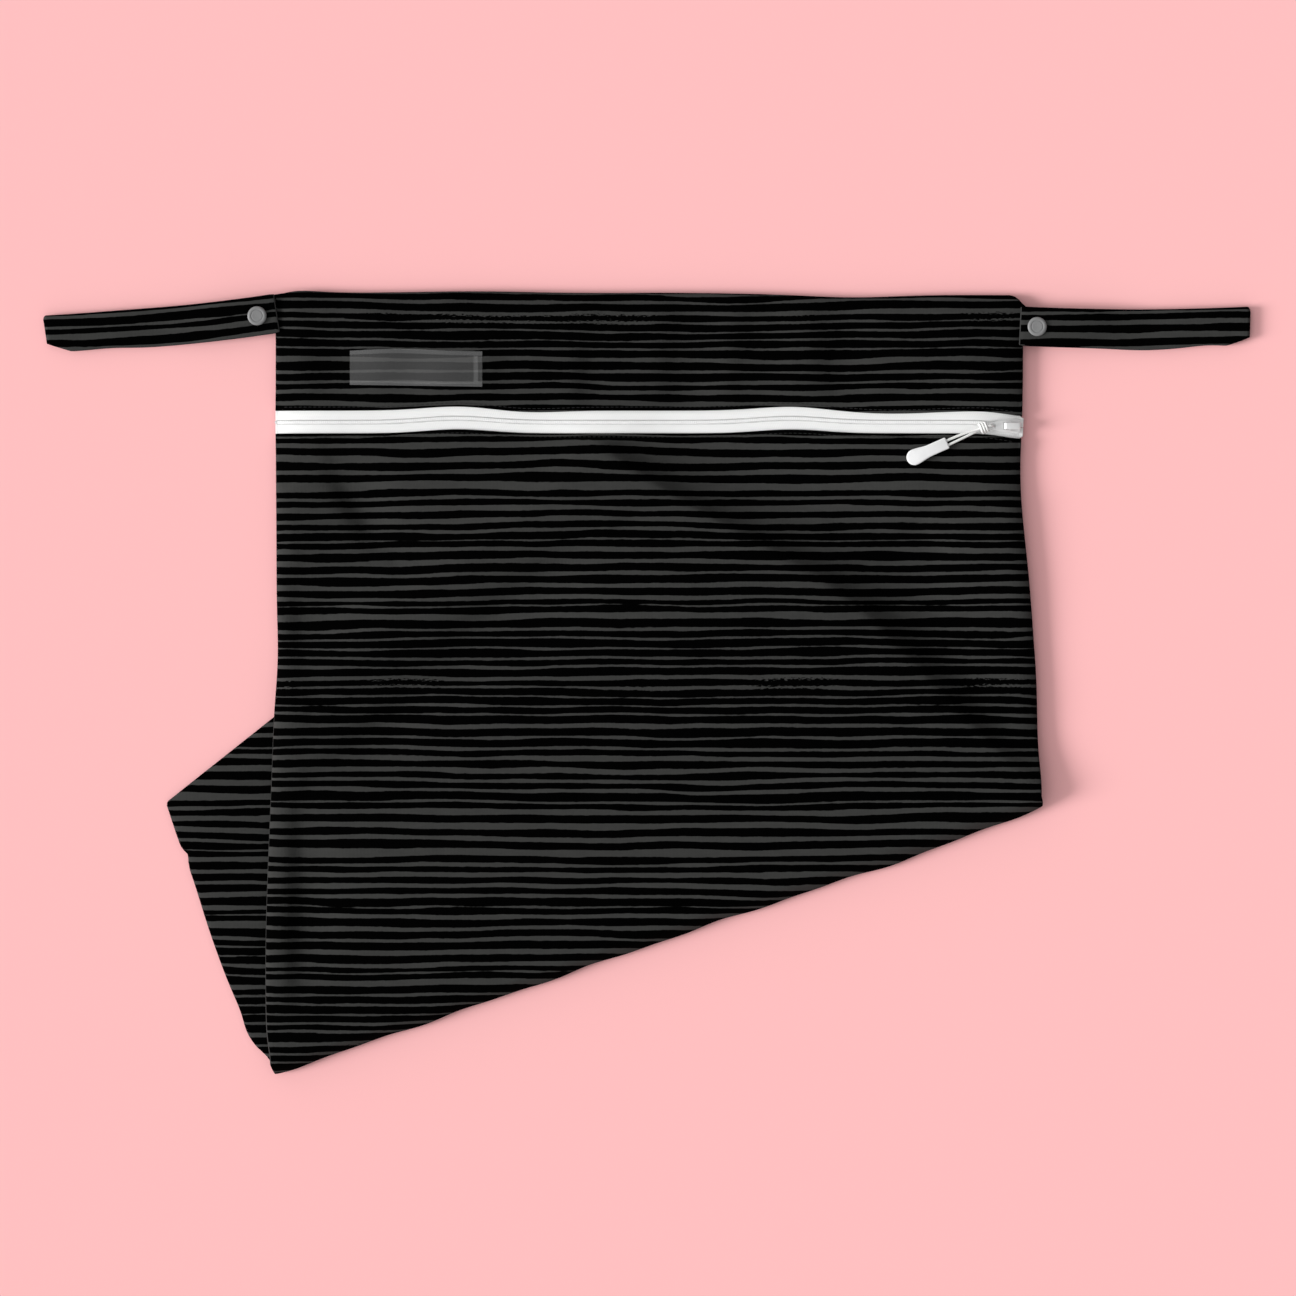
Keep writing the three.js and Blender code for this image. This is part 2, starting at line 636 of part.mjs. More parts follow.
// Pull tag: a flat moulded paddle with a round end, lying on the front panel
function tagGeometry() {
  const neck = TAG.neckWidth / 2 - TAG.bevel;
  const round = TAG.roundWidth / 2 - TAG.bevel;
  const middle = TAG.length - TAG.roundWidth / 2;
  const flare = (TAG.neckLength + middle) / 2;
  const outline = new THREE.Shape();
  outline.moveTo(TAG.bevel, -neck);
  outline.lineTo(TAG.neckLength, -neck);
  outline.bezierCurveTo(flare, -neck, flare, -round, middle, -round);
  outline.absarc(middle, 0, round, -Math.PI / 2, Math.PI / 2, false);
  outline.bezierCurveTo(flare, round, flare, neck, TAG.neckLength, neck);
  outline.lineTo(TAG.bevel, neck);
  const sweep = {
    depth: TAG.thick,
    bevelThickness: TAG.bevel,
    bevelSize: TAG.bevel,
    bevelSegments: TAG_BEVEL_STEPS,
    curveSegments: TAG_ARC_STEPS,
  };
  return new THREE.ExtrudeGeometry(outline, sweep).translate(0, 0, TAG.bevel);
}

const tag = addMesh("pull_tag", tagGeometry(), WHITE_PAINT);
const tagFloor = mainStationAt(TAG_END.x, TAG_END.y)[FRONT_OUT].z;
tag.position.set(TAG_END.x, TAG_END.y, tagFloor + CLEARANCE);
tag.rotation.z = TAG_TURN;

// Pull cord: one length, doubled through the tab's eye
function cordGeometry() {
  const path = new THREE.CatmullRomCurve3(CORD_ROUTE.map((point) => new THREE.Vector3(...point)));
  const corners = [];
  for (let side = 0; side < CORD_SIDES; side++) {
    const angle = (side / CORD_SIDES) * 2 * Math.PI;
    corners.push(new THREE.Vector2(Math.cos(angle), Math.sin(angle)).multiplyScalar(CORD / 2));
  }
  const sweep = { steps: CORD_STEPS, extrudePath: path, bevelEnabled: false };
  return new THREE.ExtrudeGeometry(new THREE.Shape(corners), sweep);
}
addMesh("pull_cord", cordGeometry(), WHITE_TAPE);

// Strap: both layers of the loop as one band, from the tongue in the seam out to the far end and back
function strapGeometry(strap) {
  const line = new THREE.QuadraticBezierCurve(strap.root, strap.bend, strap.tip);
  const length = line.getLength();
  const seam = mainStation(strap.side < 0 ? 0 : 1, strap.root.y);
  const rootZ = seam[BACK_IN].z + CLEARANCE;
  const loopRadius = CLOTH + STRAP_ROOM / 2;
  const lowerRank = strap.side;

  const placeAt = (along, rank) => {
    const share = clamp(along / length, 0, 1);
    const point = line.getPointAt(share);
    const tangent = line.getTangentAt(share);
    point.addScaledVector(tangent, along - share * length);
    const narrow = along < 0 ? STRAP_INSET : 0;
    const half = STRAP_WIDTH / 2 - narrow;
    return point.addScaledVector(new THREE.Vector2(tangent.y, -tangent.x), rank * half);
  };
  const lowZ = (along) => rootZ * (1 - smoothstep(along, STRAP_LEVEL, STRAP_DOWN));
  const endOf = (rank) => length - loopRadius - (rank === lowerRank ? CORNER_ALONG : 0);

  const rows = [];
  const flatRow = (along, outZ, inZ) => {
    rows.push(
      STRAP_RANKS.map((rank) => {
        const place = placeAt(along, rank);
        const low = lowZ(along);
        return [outZ, inZ].map((z) => new THREE.Vector3(place.x, place.y, low + z));
      }),
    );
  };
  for (const along of [-STRAP_TONGUE, -STRAP_SHOULDER, ...STRAP_RUNS]) {
    flatRow(along, 0, CLOTH);
  }
  for (let step = 0; step <= STRAP_BEND_STEPS; step++) {
    const turn = (step / STRAP_BEND_STEPS) * Math.PI;
    rows.push(
      STRAP_RANKS.map((rank) =>
        [loopRadius, loopRadius - CLOTH].map((radius) => {
          const place = placeAt(endOf(rank) + radius * Math.sin(turn), rank);
          return new THREE.Vector3(place.x, place.y, loopRadius - radius * Math.cos(turn));
        }),
      ),
    );
  }
  const topOut = 2 * loopRadius;
  const topIn = topOut - CLOTH;
  for (const along of [...STRAP_RUNS.slice(1).reverse(), -strap.overlap]) {
    flatRow(along, topOut, topIn);
  }
  const geometry = wallGeometry(face(rows, 0), face(rows, 1));
  return { geometry, rootZ, topOut, snap: placeAt(strap.snapAt, 0) };
}

function lathe(points) {
  const profile = points.map(([radius, z]) => new THREE.Vector2(radius, z));
  return new THREE.LatheGeometry(profile, SNAP_SIDES).rotateX(Math.PI / 2);
}

// Snap halves: a cap outside the cloth, a post through it and a ring inside. The knob sits in the socket.
function snapStud() {
  const ringTop = CLOTH + CLEARANCE + SNAP.ringThick;
  return lathe([
    [0, -CLEARANCE - SNAP.capThick],
    [SNAP.crown, -CLEARANCE - SNAP.capThick],
    [SNAP.cap, -CLEARANCE - SNAP.capThick / 2],
    [SNAP.cap, -CLEARANCE],
    [SNAP.post, -CLEARANCE],
    [SNAP.post, CLOTH + CLEARANCE],
    [SNAP.ring, CLOTH + CLEARANCE],
    [SNAP.ring, ringTop],
    [SNAP.knob, ringTop],
    [SNAP.knob, ringTop + SNAP.knobRise],
    [0, ringTop + SNAP.knobRise],
  ]);
}

function snapSocket() {
  const roof = -CLOTH - CLEARANCE;
  const mouth = roof - SNAP.socketRise;
  return lathe([
    [0, roof - SNAP.socketRoof],
    [SNAP.knob + CLEARANCE, roof - SNAP.socketRoof],
    [SNAP.knob + CLEARANCE, mouth],
    [SNAP.ring, mouth],
    [SNAP.ring, roof],
    [SNAP.post, roof],
    [SNAP.post, CLEARANCE],
    [SNAP.cap, CLEARANCE],
    [SNAP.cap, CLEARANCE + SNAP.capThick / 2],
    [SNAP.crown, CLEARANCE + SNAP.capThick],
    [0, CLEARANCE + SNAP.capThick],
  ]);
}

for (const strap of STRAPS) {
  const made = strapGeometry(strap);
  const drill = new THREE.CylinderGeometry(SNAP.hole, SNAP.hole, 2 * SNAP_REACH, SNAP_SIDES);
  drill.rotateX(Math.PI / 2).translate(made.snap.x, made.snap.y, made.rootZ);
  const drilled = solidOf(made.geometry).subtract(solidOf(drill));
  addMesh(`strap_${strap.name}`, geometryOf(drilled), PRINT);
  const stud = addMesh(`snap_stud_${strap.name}`, snapStud(), GREY_CAP);
  stud.position.set(made.snap.x, made.snap.y, made.rootZ);
  const socket = addMesh(`snap_socket_${strap.name}`, snapSocket(), GREY_CAP);
  socket.position.set(made.snap.x, made.snap.y, made.rootZ + made.topOut);
}

// Sheer label laid on the upper front panel
function labelGeometry() {
  const faces = [CLEARANCE + LABEL.thick, CLEARANCE].map((rise) => {
    const grid = [];
    for (let row = 0; row <= LABEL_ROWS; row++) {
      const y = LABEL.y + LABEL.height * (0.5 - row / LABEL_ROWS);
      const points = [];
      for (let column = 0; column <= LABEL_COLUMNS; column++) {
        const x = LABEL.x + LABEL.width * (column / LABEL_COLUMNS - 0.5);
        points.push(new THREE.Vector3(x, y, mainStationAt(x, y)[FRONT_OUT].z + rise));
      }
      grid.push(points);
    }
    return grid;
  });
  return wallGeometry(...faces);
}
addMesh("label", labelGeometry(), SHEER);

export default group;
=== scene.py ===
# %% [markdown]
# # A wet bag, laid flat with its lower end turned under
# The bag is two panels of striped, laminated cloth sewn into a hollow pouch, with a white zip across
# the front panel, a strap loop at each side and a sheer label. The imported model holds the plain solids.
# This lesson puts the finished pieces in their places, one step in each cell.

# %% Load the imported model
import math

import bmesh
import bpy
import numpy as np
from mathutils import Matrix, Vector


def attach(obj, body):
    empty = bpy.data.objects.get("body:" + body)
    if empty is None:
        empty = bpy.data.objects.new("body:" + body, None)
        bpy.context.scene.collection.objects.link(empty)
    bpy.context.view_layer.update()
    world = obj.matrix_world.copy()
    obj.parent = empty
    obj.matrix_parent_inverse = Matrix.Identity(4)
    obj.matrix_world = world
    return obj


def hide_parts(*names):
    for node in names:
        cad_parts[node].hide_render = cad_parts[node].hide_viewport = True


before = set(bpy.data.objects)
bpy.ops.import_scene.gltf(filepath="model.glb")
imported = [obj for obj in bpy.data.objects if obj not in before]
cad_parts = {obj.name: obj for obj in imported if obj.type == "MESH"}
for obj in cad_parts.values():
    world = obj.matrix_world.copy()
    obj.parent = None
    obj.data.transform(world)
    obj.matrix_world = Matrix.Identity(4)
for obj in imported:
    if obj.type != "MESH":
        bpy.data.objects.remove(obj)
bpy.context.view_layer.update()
MM = 0.001  # every size below is in millimetres
print("packed nodes:", len(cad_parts))

# %% [markdown]
# ## Camera, floor and light
# The photograph looks straight down, so the camera stands high above the bag with a long lens, and its
# frame is as wide as the photograph's. A softbox far off on the left, low down, gives the soft shadow on
# the right and shows the folds. A sun lamp with a wide angle stands for it, because its light is equally
# strong all over the floor. The room's own light fills the rest, a little stronger from the softbox's side.
# The Standard view transform keeps black cloth black.

# %% Camera straight above the bag
PHOTO_PIXELS = 1296
PIXEL = 0.615
VIEW_CENTRE = (0.3, 21.2)
VIEW_LEVEL = 8.0
CAMERA_HEIGHT = 3200.0
SENSOR = 36.0

scene = bpy.context.scene
scene.view_settings.view_transform = "Standard"


def add_object(name, data):
    made = bpy.data.objects.new(name, data)
    scene.collection.objects.link(made)
    return made


lens = bpy.data.cameras.new("camera_above")
lens.sensor_width = SENSOR
lens.lens = SENSOR * CAMERA_HEIGHT / (PHOTO_PIXELS * PIXEL)
camera = add_object("camera_above", lens)
camera.location = Vector((*VIEW_CENTRE, VIEW_LEVEL + CAMERA_HEIGHT)) * MM
scene.camera = camera
print("lens", round(lens.lens, 1), "mm")

# %% A far softbox on the left
KEY_ELEVATION = math.radians(23)
KEY_AZIMUTH = math.radians(188)  # counted from the bag's right
KEY_STRENGTH = 3.45
KEY_SPREAD = math.radians(21)  # how wide the softbox looks from the bag

key_data = bpy.data.lights.new("far_softbox", "SUN")
key_data.energy = KEY_STRENGTH
key_data.angle = KEY_SPREAD
key_light = add_object("far_softbox", key_data)
key_way = Vector((
    math.cos(KEY_ELEVATION) * math.cos(KEY_AZIMUTH),
    math.cos(KEY_ELEVATION) * math.sin(KEY_AZIMUTH),
    math.sin(KEY_ELEVATION),
))
key_light.rotation_euler = key_way.to_track_quat("Z", "Y").to_euler()
print("softbox towards", [round(part, 2) for part in key_way])

# %% [markdown]
# ## Small helpers for materials
# A material is a graph of nodes. Two helpers keep the graphs short: one adds a node with its inputs, and
# one does a sum on values. Every finish below reads a UV map that the mesh carries, or Object
# coordinates, so that it stays on the piece from every side.

# %% Node helpers


def add_node(tree, kind, *inputs, **settings):
    node = tree.nodes.new(kind)
    for name, value in settings.items():
        setattr(node, name, value)
    for socket, value in zip(node.inputs, inputs):
        if isinstance(value, bpy.types.NodeSocket):
            tree.links.new(value, socket)
        elif value is not None:
            socket.default_value = value
    return node


def sum_node(tree, operation, *values):
    return add_node(tree, "ShaderNodeMath", *values, operation=operation).outputs[0]


def new_finish(name, colour, roughness, specular):
    finish = bpy.data.materials.new(name)
    finish.use_nodes = True
    shader = finish.node_tree.nodes["Principled BSDF"]
    shader.inputs["Base Color"].default_value = (*colour, 1)
    shader.inputs["Roughness"].default_value = roughness
    shader.inputs["Specular IOR Level"].default_value = specular
    return finish, finish.node_tree, shader


def cloth_map(tree):
    """The UV map that a mesh carries, in metres on its own surface."""
    return add_node(tree, "ShaderNodeUVMap", uv_map="cloth").outputs[0]


def stretched_noise(tree, place, across, along, detail):
    """Noise whose patches are this wide and this high, in millimetres, from 0 to 1 with a middle of 0.5."""
    size = (1 / (across * MM), 1 / (along * MM), 1 / (across * MM))
    scaled = add_node(tree, "ShaderNodeVectorMath", place, size, operation="MULTIPLY").outputs[0]
    noise = add_node(tree, "ShaderNodeTexNoise")
    tree.links.new(scaled, noise.inputs["Vector"])
    noise.inputs["Scale"].default_value = 1.0
    noise.inputs["Detail"].default_value = detail
    return noise.outputs["Fac"]


def swing(tree, noise, size):
    """Noise as a swing of plus or minus half this size, in millimetres."""
    middled = sum_node(tree, "SUBTRACT", noise, 0.5)
    return sum_node(tree, "MULTIPLY", middled, size * MM)


def add_bump(tree, shader, height, depth):
    bump = add_node(tree, "ShaderNodeBump")
    bump.inputs["Distance"].default_value = depth * MM
    tree.links.new(height, bump.inputs["Height"])
    tree.links.new(bump.outputs["Normal"], shader.inputs["Normal"])


def tint(tree, shader, share, low, high):
    """Base colour between two colours by a share from 0 to 1."""
    mix = add_node(tree, "ShaderNodeMix", data_type="RGBA")
    tree.links.new(share, mix.inputs["Factor"])
    mix.inputs["A"].default_value = (*low, 1)
    mix.inputs["B"].default_value = (*high, 1)
    socket = next(out for out in mix.outputs if out.type == "RGBA")
    tree.links.new(socket, shader.inputs["Base Color"])
    return mix


# %% The light of the room
ROOM_LIGHT = 0.6
ROOM_SIDE = (-0.97, -0.24, 0.0)  # the room is brighter on this side
ROOM_SLANT = 0.8  # by this share of its light

room = bpy.data.worlds.new("room")
room.use_nodes = True
room_tree = room.node_tree
seen_way = add_node(room_tree, "ShaderNodeTexCoord").outputs["Object"]
towards = add_node(room_tree, "ShaderNodeVectorMath", seen_way, ROOM_SIDE, operation="DOT_PRODUCT")
slanted = sum_node(room_tree, "MULTIPLY_ADD", towards.outputs["Value"], ROOM_SLANT * ROOM_LIGHT, ROOM_LIGHT)
background = room_tree.nodes["Background"]
background.inputs["Color"].default_value = (1, 1, 1, 1)
room_tree.links.new(slanted, background.inputs["Strength"])
scene.world = room

# %% A plain pale floor
FLOOR_SIZE = 12.0  # metres
FLOOR_DROP = 0.2
FLOOR_PINK = (0.985, 0.512, 0.517)

floor_mesh = bpy.data.meshes.new("floor")
half = FLOOR_SIZE / 2
floor_level = -FLOOR_DROP * MM
floor_corners = [(-half, -half), (half, -half), (half, half), (-half, half)]
floor_mesh.from_pydata([(x, y, floor_level) for x, y in floor_corners], [], [(0, 1, 2, 3)])
floor_finish, _, _ = new_finish("floor_paper", FLOOR_PINK, roughness=0.9, specular=0.1)
floor_mesh.materials.append(floor_finish)
add_object("floor", floor_mesh)

# %% [markdown]
# ## The pull cord
# A white cord is doubled through the eye of the pull tab and tied there, and both its ends go into a
# moulded tag. A cord lies where its plain solid lies, so its route repeats the model's points. A tube
# of rings along the smoothed route carries a UV map, which lets a braid run round it.

# %% The cord's route
CORD = 1.6
CORD_ROUTE = [
    (183.4, 148.45, 12.2), (188.0, 150.4, 11.9), (193.0, 152.4, 11.8), (198.0, 154.1, 12.0),
    (202.5, 155.5, 12.5), (206.5, 156.8, 13.2), (209.0, 157.5, 13.7), (210.6, 157.7, 13.7),
    (211.7, 157.7, 13.1), (212.3, 157.65, 12.0), (211.9, 157.6, 10.9), (210.7, 157.5, 10.3),
    (209.0, 157.2, 10.2), (206.0, 156.2, 10.5), (203.0, 154.8, 11.0), (199.5, 153.0, 11.4),
    (195.0, 150.8, 11.6), (190.0, 148.4, 11.9), (184.6, 145.75, 12.2),
]
STEPS_BETWEEN = 5


def smooth_route(points, steps):
    """Points along a curve that passes through all the given ones."""
    known = np.array(points, float)
    padded = np.vstack([2 * known[0] - known[1], known, 2 * known[-1] - known[-2]])
    made = []
    for before, start, end, after in zip(padded, padded[1:], padded[2:], padded[3:]):
        for t in np.arange(steps) / steps:
            made.append(0.5 * (
                2 * start + (end - before) * t
                + (2 * before - 5 * start + 4 * end - after) * t**2
                + (3 * start - before - 3 * end + after) * t**3
            ))
    return np.vstack([made, known[-1]])


cord_path = smooth_route(CORD_ROUTE, STEPS_BETWEEN)

# %% [markdown]
# ## Meshes from grids of points
# Cloth, tape, tubes and lathed caps are all grids: rows and columns of points that a formula gives. One
# function makes a mesh object from points and faces, and one joins two facing grids into a closed wall
# whose rim is rounded, which is how a folded or cut edge of cloth ends.

# %% Points and faces into an object


def mesh_object(name, points, faces, finishes, uv=None, rim_faces=()):
    """A smooth mesh from points in millimetres, with a UV map in metres where uv gives one for each point."""
    mesh = bpy.data.meshes.new(name)
    mesh.from_pydata((np.asarray(points) * MM).tolist(), [], [list(face) for face in faces])
    for finish in finishes:
        mesh.materials.append(finish)
    mesh.polygons.foreach_set("use_smooth", np.ones(len(mesh.polygons), bool))
    if uv is not None:
        layer = mesh.uv_layers.new(name="cloth")
        corners = np.empty(len(mesh.loops), int)
        mesh.loops.foreach_get("vertex_index", corners)
        layer.data.foreach_set("uv", (np.asarray(uv) * MM)[corners].ravel())
    for face in rim_faces:
        mesh.polygons[face].material_index = 1
    mesh.update()
    return add_object(name, mesh)


def grid_faces(rows, columns, first=0, turned=False):
    """Quads between neighbouring points of a grid, facing up where rows run down and columns to the right."""
    corner = first + (np.arange(rows - 1)[:, None] * columns + np.arange(columns - 1)).ravel()
    quads = np.stack([corner, corner + columns, corner + columns + 1, corner + 1], axis=1)
    return quads[:, ::-1] if turned else quads


def rim_of(rows, columns):
    """The border of a grid, once round: down the left, along the last row, up the right and back."""
    left = [(row, 0) for row in range(rows)]
    last = [(rows - 1, column) for column in range(1, columns)]
    right = [(row, columns - 1) for row in range(rows - 2, -1, -1)]
    first = [(0, column) for column in range(columns - 2, 0, -1)]
    return np.array(left + last + right + first)


# %% A closed wall between two grids
RIM_TURNS = (45, 0, -45)  # degrees from the wall's middle level


def cloth_wall(name, upper, lower, uv, finishes, highlighted=None):
    """A closed wall between two grids, with a round rim; the last argument picks the rim points that get a
    painted highlight.
    """
    upper = upper.copy()
    lower = lower.copy()
    rows, columns = upper.shape[:2]
    rim = rim_of(rows, columns)
    at = (rim[:, 0], rim[:, 1])
    inner = (np.clip(rim[:, 0], 1, rows - 2), np.clip(rim[:, 1], 1, columns - 2))
    middle = (upper + lower) / 2
    out = middle[at] - middle[inner]
    out /= np.linalg.norm(out, axis=1, keepdims=True)
    half_wall = (upper[at] - lower[at]) / 2
    radius = np.linalg.norm(half_wall, axis=1, keepdims=True)
    centre = middle[at] - out * radius
    upper[at] = centre + half_wall
    lower[at] = centre - half_wall
    rings = []
    for turn in RIM_TURNS:
        lift = math.sin(math.radians(turn))
        reach = math.cos(math.radians(turn))
        rings.append(centre + half_wall * lift + out * radius * reach)
    size = rows * columns
    around = len(rim)
    points = np.vstack([upper.reshape(-1, 3), lower.reshape(-1, 3), *rings])
    loop = rim[:, 0] * columns + rim[:, 1]
    levels = [loop] + [2 * size + ring * around + np.arange(around) for ring in range(len(RIM_TURNS))]
    levels.append(size + loop)
    faces = [grid_faces(rows, columns), grid_faces(rows, columns, size, turned=True)]
    for high, low in zip(levels, levels[1:]):
        faces.append(np.stack([np.roll(high, -1), high, low, np.roll(low, -1)], axis=1))
    faces = np.vstack(faces)
    rim_uv = uv[at]
    uvs = np.vstack([uv.reshape(-1, 2), uv.reshape(-1, 2)] + [rim_uv] * len(RIM_TURNS))
    rim_faces = []
    if highlighted is not None:
        start = 2 * len(grid_faces(rows, columns))
        chosen = np.flatnonzero(highlighted[at])
        rim_faces = [start + level * around + step for level in range(len(levels) - 1) for step in chosen]
    return mesh_object(name, points, faces, finishes, uvs, rim_faces)


# %% Rings and tubes


def ring_quads(rings, sides):
    """Quads between rings of points, each ring with the same number of sides."""
    quads = []
    for ring in range(rings - 1):
        here = ring * sides + np.arange(sides)
        after = np.roll(here, -1)
        quads += [tuple(quad) for quad in np.stack([here, after, after + sides, here + sides], axis=1)]
    return quads


def tube_points(path, radius, sides):
    """Rings of points round a path, and the faces between them, with both ends closed."""
    path = np.asarray(path, float)
    along = np.gradient(path, axis=0)
    along /= np.linalg.norm(along, axis=1, keepdims=True)
    side = np.cross(along[0], (0.0, 0.0, 1.0))
    rings = []
    for point, way in zip(path, along):
        side = side - way * side.dot(way)
        side /= np.linalg.norm(side)
        up = np.cross(side, way)
        turns = np.linspace(0, 2 * math.pi, sides, endpoint=False)
        rings.append(point + radius * (np.outer(np.cos(turns), side) + np.outer(np.sin(turns), up)))
    points = np.vstack(rings)
    count = len(path)
    faces = ring_quads(count, sides)
    faces.append(tuple(range(sides))[::-1])
    faces.append(tuple((count - 1) * sides + np.arange(sides)))
    steps = np.linalg.norm(np.diff(path, axis=0), axis=1)
    length = np.concatenate([[0], np.cumsum(steps)])
    around = np.arange(sides) * 2 * math.pi * radius / sides
    uv = np.stack([np.repeat(length, sides), np.tile(around, count)], axis=1)
    return points, faces, uv


# %% Closing a piece and putting it on the bag
MERGE_WITHIN = 0.002


def outward(piece):
    """Merge doubled points of a piece and turn all its faces outwards."""
    work = bmesh.new()
    work.from_mesh(piece.data)
    bmesh.ops.remove_doubles(work, verts=work.verts, dist=MERGE_WITHIN * MM)
    bmesh.ops.recalc_face_normals(work, faces=work.faces)
    work.to_mesh(piece.data)
    work.free()
    return piece


def keep(piece, finish_slot, *nodes):
    """A finished piece rides on the bag and stands for its plain solids; finish_slot is not used."""
    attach(piece, "root")
    if nodes:
        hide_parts(*nodes)
    print(piece.name, len(piece.data.polygons), "faces")
    return piece


# %% [markdown]
# ## White finishes of the pull
# The cord is a fine white braid: two slanting waves on its UV map cross over each other. The tag is a
# soft white moulding, and the slider is white enamel. Noise on Object coordinates gives each a little
# mottling, because no moulding is one even colour.

# %% Braid, moulding and enamel
BRAID_STRAND = 0.9
BRAID_SLANT = math.radians(35)
WAVE_SCALE = 2 * math.pi / 20  # the wave texture has one period for this scale and a length of 1
GRAIN = 0.7


def slanting_wave(tree, place, period, turn):
    """A wave of this period, in millimetres, across a UV map turned by an angle."""
    turned = add_node(tree, "ShaderNodeMapping", place)
    turned.inputs["Rotation"].default_value = (0, 0, turn)
    wave = add_node(tree, "ShaderNodeTexWave", turned.outputs[0], wave_profile="SIN")
    wave.inputs["Scale"].default_value = WAVE_SCALE / (period * MM)
    return wave.outputs["Fac"]


def braided_cord():
    finish, tree, shader = new_finish("white_braid", colour=(0.86, 0.86, 0.84), roughness=0.75, specular=0.2)
    place = cloth_map(tree)
    left = slanting_wave(tree, place, BRAID_STRAND, BRAID_SLANT)
    right = slanting_wave(tree, place, BRAID_STRAND, -BRAID_SLANT)
    strands = sum_node(tree, "MAXIMUM", left, right)
    tint(tree, shader, strands, low=(0.66, 0.66, 0.65), high=(0.93, 0.93, 0.91))
    add_bump(tree, shader, strands, depth=0.18)
    return finish


def mottled(name, low, high, roughness, patch, bump):
    """A moulded or enamelled finish with soft patches of this size and a slight unevenness."""
    finish, tree, shader = new_finish(name, high, roughness, specular=0.4)
    place = add_node(tree, "ShaderNodeTexCoord").outputs["Object"]
    patches = stretched_noise(tree, place, patch, patch, detail=3.0)
    tint(tree, shader, patches, low, high)
    grain = stretched_noise(tree, place, GRAIN, GRAIN, detail=4.0)
    add_bump(tree, shader, grain, bump)
    return finish


white_braid = braided_cord()
white_moulding = mottled(
    "white_moulding", (0.74, 0.74, 0.74), (0.86, 0.86, 0.86), roughness=0.5, patch=5.0, bump=0.03
)
white_enamel = mottled(
    "white_enamel", (0.84, 0.84, 0.84), (0.93, 0.93, 0.92), roughness=0.32, patch=3.0, bump=0.02
)

# %% The cord and its knot
CORD_SIDES = 14
KNOT_WRAPS = [(205.0, 155.9), (206.5, 156.5), (208.0, 157.1)]  # middles of the wraps
KNOT_LEVEL = 11.7
KNOT_HALF_WIDTH = 2.5
KNOT_HALF_HEIGHT = 2.6
KNOT_SLANT = 2.6
KNOT_TURNS = np.radians(np.linspace(-22, 202, 25))

cord_points, cord_faces, cord_uv = tube_points(cord_path, CORD / 2, CORD_SIDES)
pull_cord = outward(mesh_object("pull_cord_braid", cord_points, cord_faces, [white_braid], cord_uv))

knot_points = []
knot_faces = []
knot_uv = []
for middle_x, middle_y in KNOT_WRAPS:
    wrap = np.stack([
        middle_x + KNOT_SLANT * (KNOT_TURNS / math.pi - 0.5),
        middle_y + KNOT_HALF_WIDTH * np.cos(KNOT_TURNS),
        KNOT_LEVEL + KNOT_HALF_HEIGHT * np.sin(KNOT_TURNS),
    ], axis=1)
    points, faces, uv = tube_points(wrap, CORD / 2, CORD_SIDES)
    first = sum(len(each) for each in knot_points)
    knot_points.append(points)
    knot_uv.append(uv)
    knot_faces += [tuple(first + corner for corner in face) for face in faces]
knot_points = np.vstack(knot_points)
knot_uv = np.vstack(knot_uv)
knot = outward(mesh_object("pull_knot", knot_points, knot_faces, [white_braid], knot_uv))
keep(pull_cord, "white_cord", "pull_cord")
keep(knot, "white_cord")

# %% [markdown]
# ## The bag's shape as formulas
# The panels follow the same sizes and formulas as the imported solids, with finer grids and softer folds.
# A place on the bag is a share across it and a height up it. From the place come four levels of cloth:
# the back panel's two faces and the front panel's two faces. NumPy works all places out at once.

# %% Sizes of the bag
CLOTH = 1.2
SEAM_GAP = 0.4
CLEARANCE = 0.3
FLAP_ROOM = 0.5
TOP_LEFT = np.array((-228.8, 240.0))
TOP_RIGHT = np.array((230.6, 238.4))
FOLD_LEFT = np.array((-229.7, -240.8))
FOLD_RIGHT = np.array((242.6, -76.0))
FLAP_LEFT = np.array((-296.1, -74.1))
FLAP_RIGHT = np.array((-27.4, 138.7))
TOP_LEFT_CORNER = 3.0
TOP_RIGHT_CORNER = 9.0
FLAP_CORNER = 2.0

# Bows of the edges: place along the edge, distance outwards, spread
LEFT_BOWS = [(0.4, -1.5, 0.2), (0.47, -1.3, 0.06), (0.86, 3.4, 0.2), (1.0, -2.0, 0.03)]
RIGHT_BOWS = [(0.02, 5.6, 0.014), (0.36, -4.4, 0.17), (0.78, 1.3, 0.12), (0.98, 1.8, 0.07)]
TOP_BOWS = [
    (0.0, -2.0, 0.02), (0.03, 1.3, 0.04), (0.27, 1.2, 0.11), (0.53, 0.7, 0.12), (0.77, -1.7, 0.08),
]
FOLD_BOWS = [(0.45, 1.5, 0.6), (0.72, 0.9, 0.14), (0.84, 1.9, 0.1)]
FOLD_WOBBLES = [(0.5, 41.0), (0.35, 73.0)]  # distance outwards, turns along the fold
FLAP_LEFT_BOWS = [(0.26, 5.6, 0.24), (0.11, 3.2, 0.07), (0.55, 3.6, 0.22), (0.86, 1.6, 0.14)]
FLAP_BOWS_FROM = 0.07  # share of the edge where the bows have their full size
FLAP_LEFT_NICKS = [(0.80, -2.4, 0.018), (0.77, -0.8, 0.02)]
FLAP_RIGHT_BOWS = [(0.55, 25.0, 0.3)]

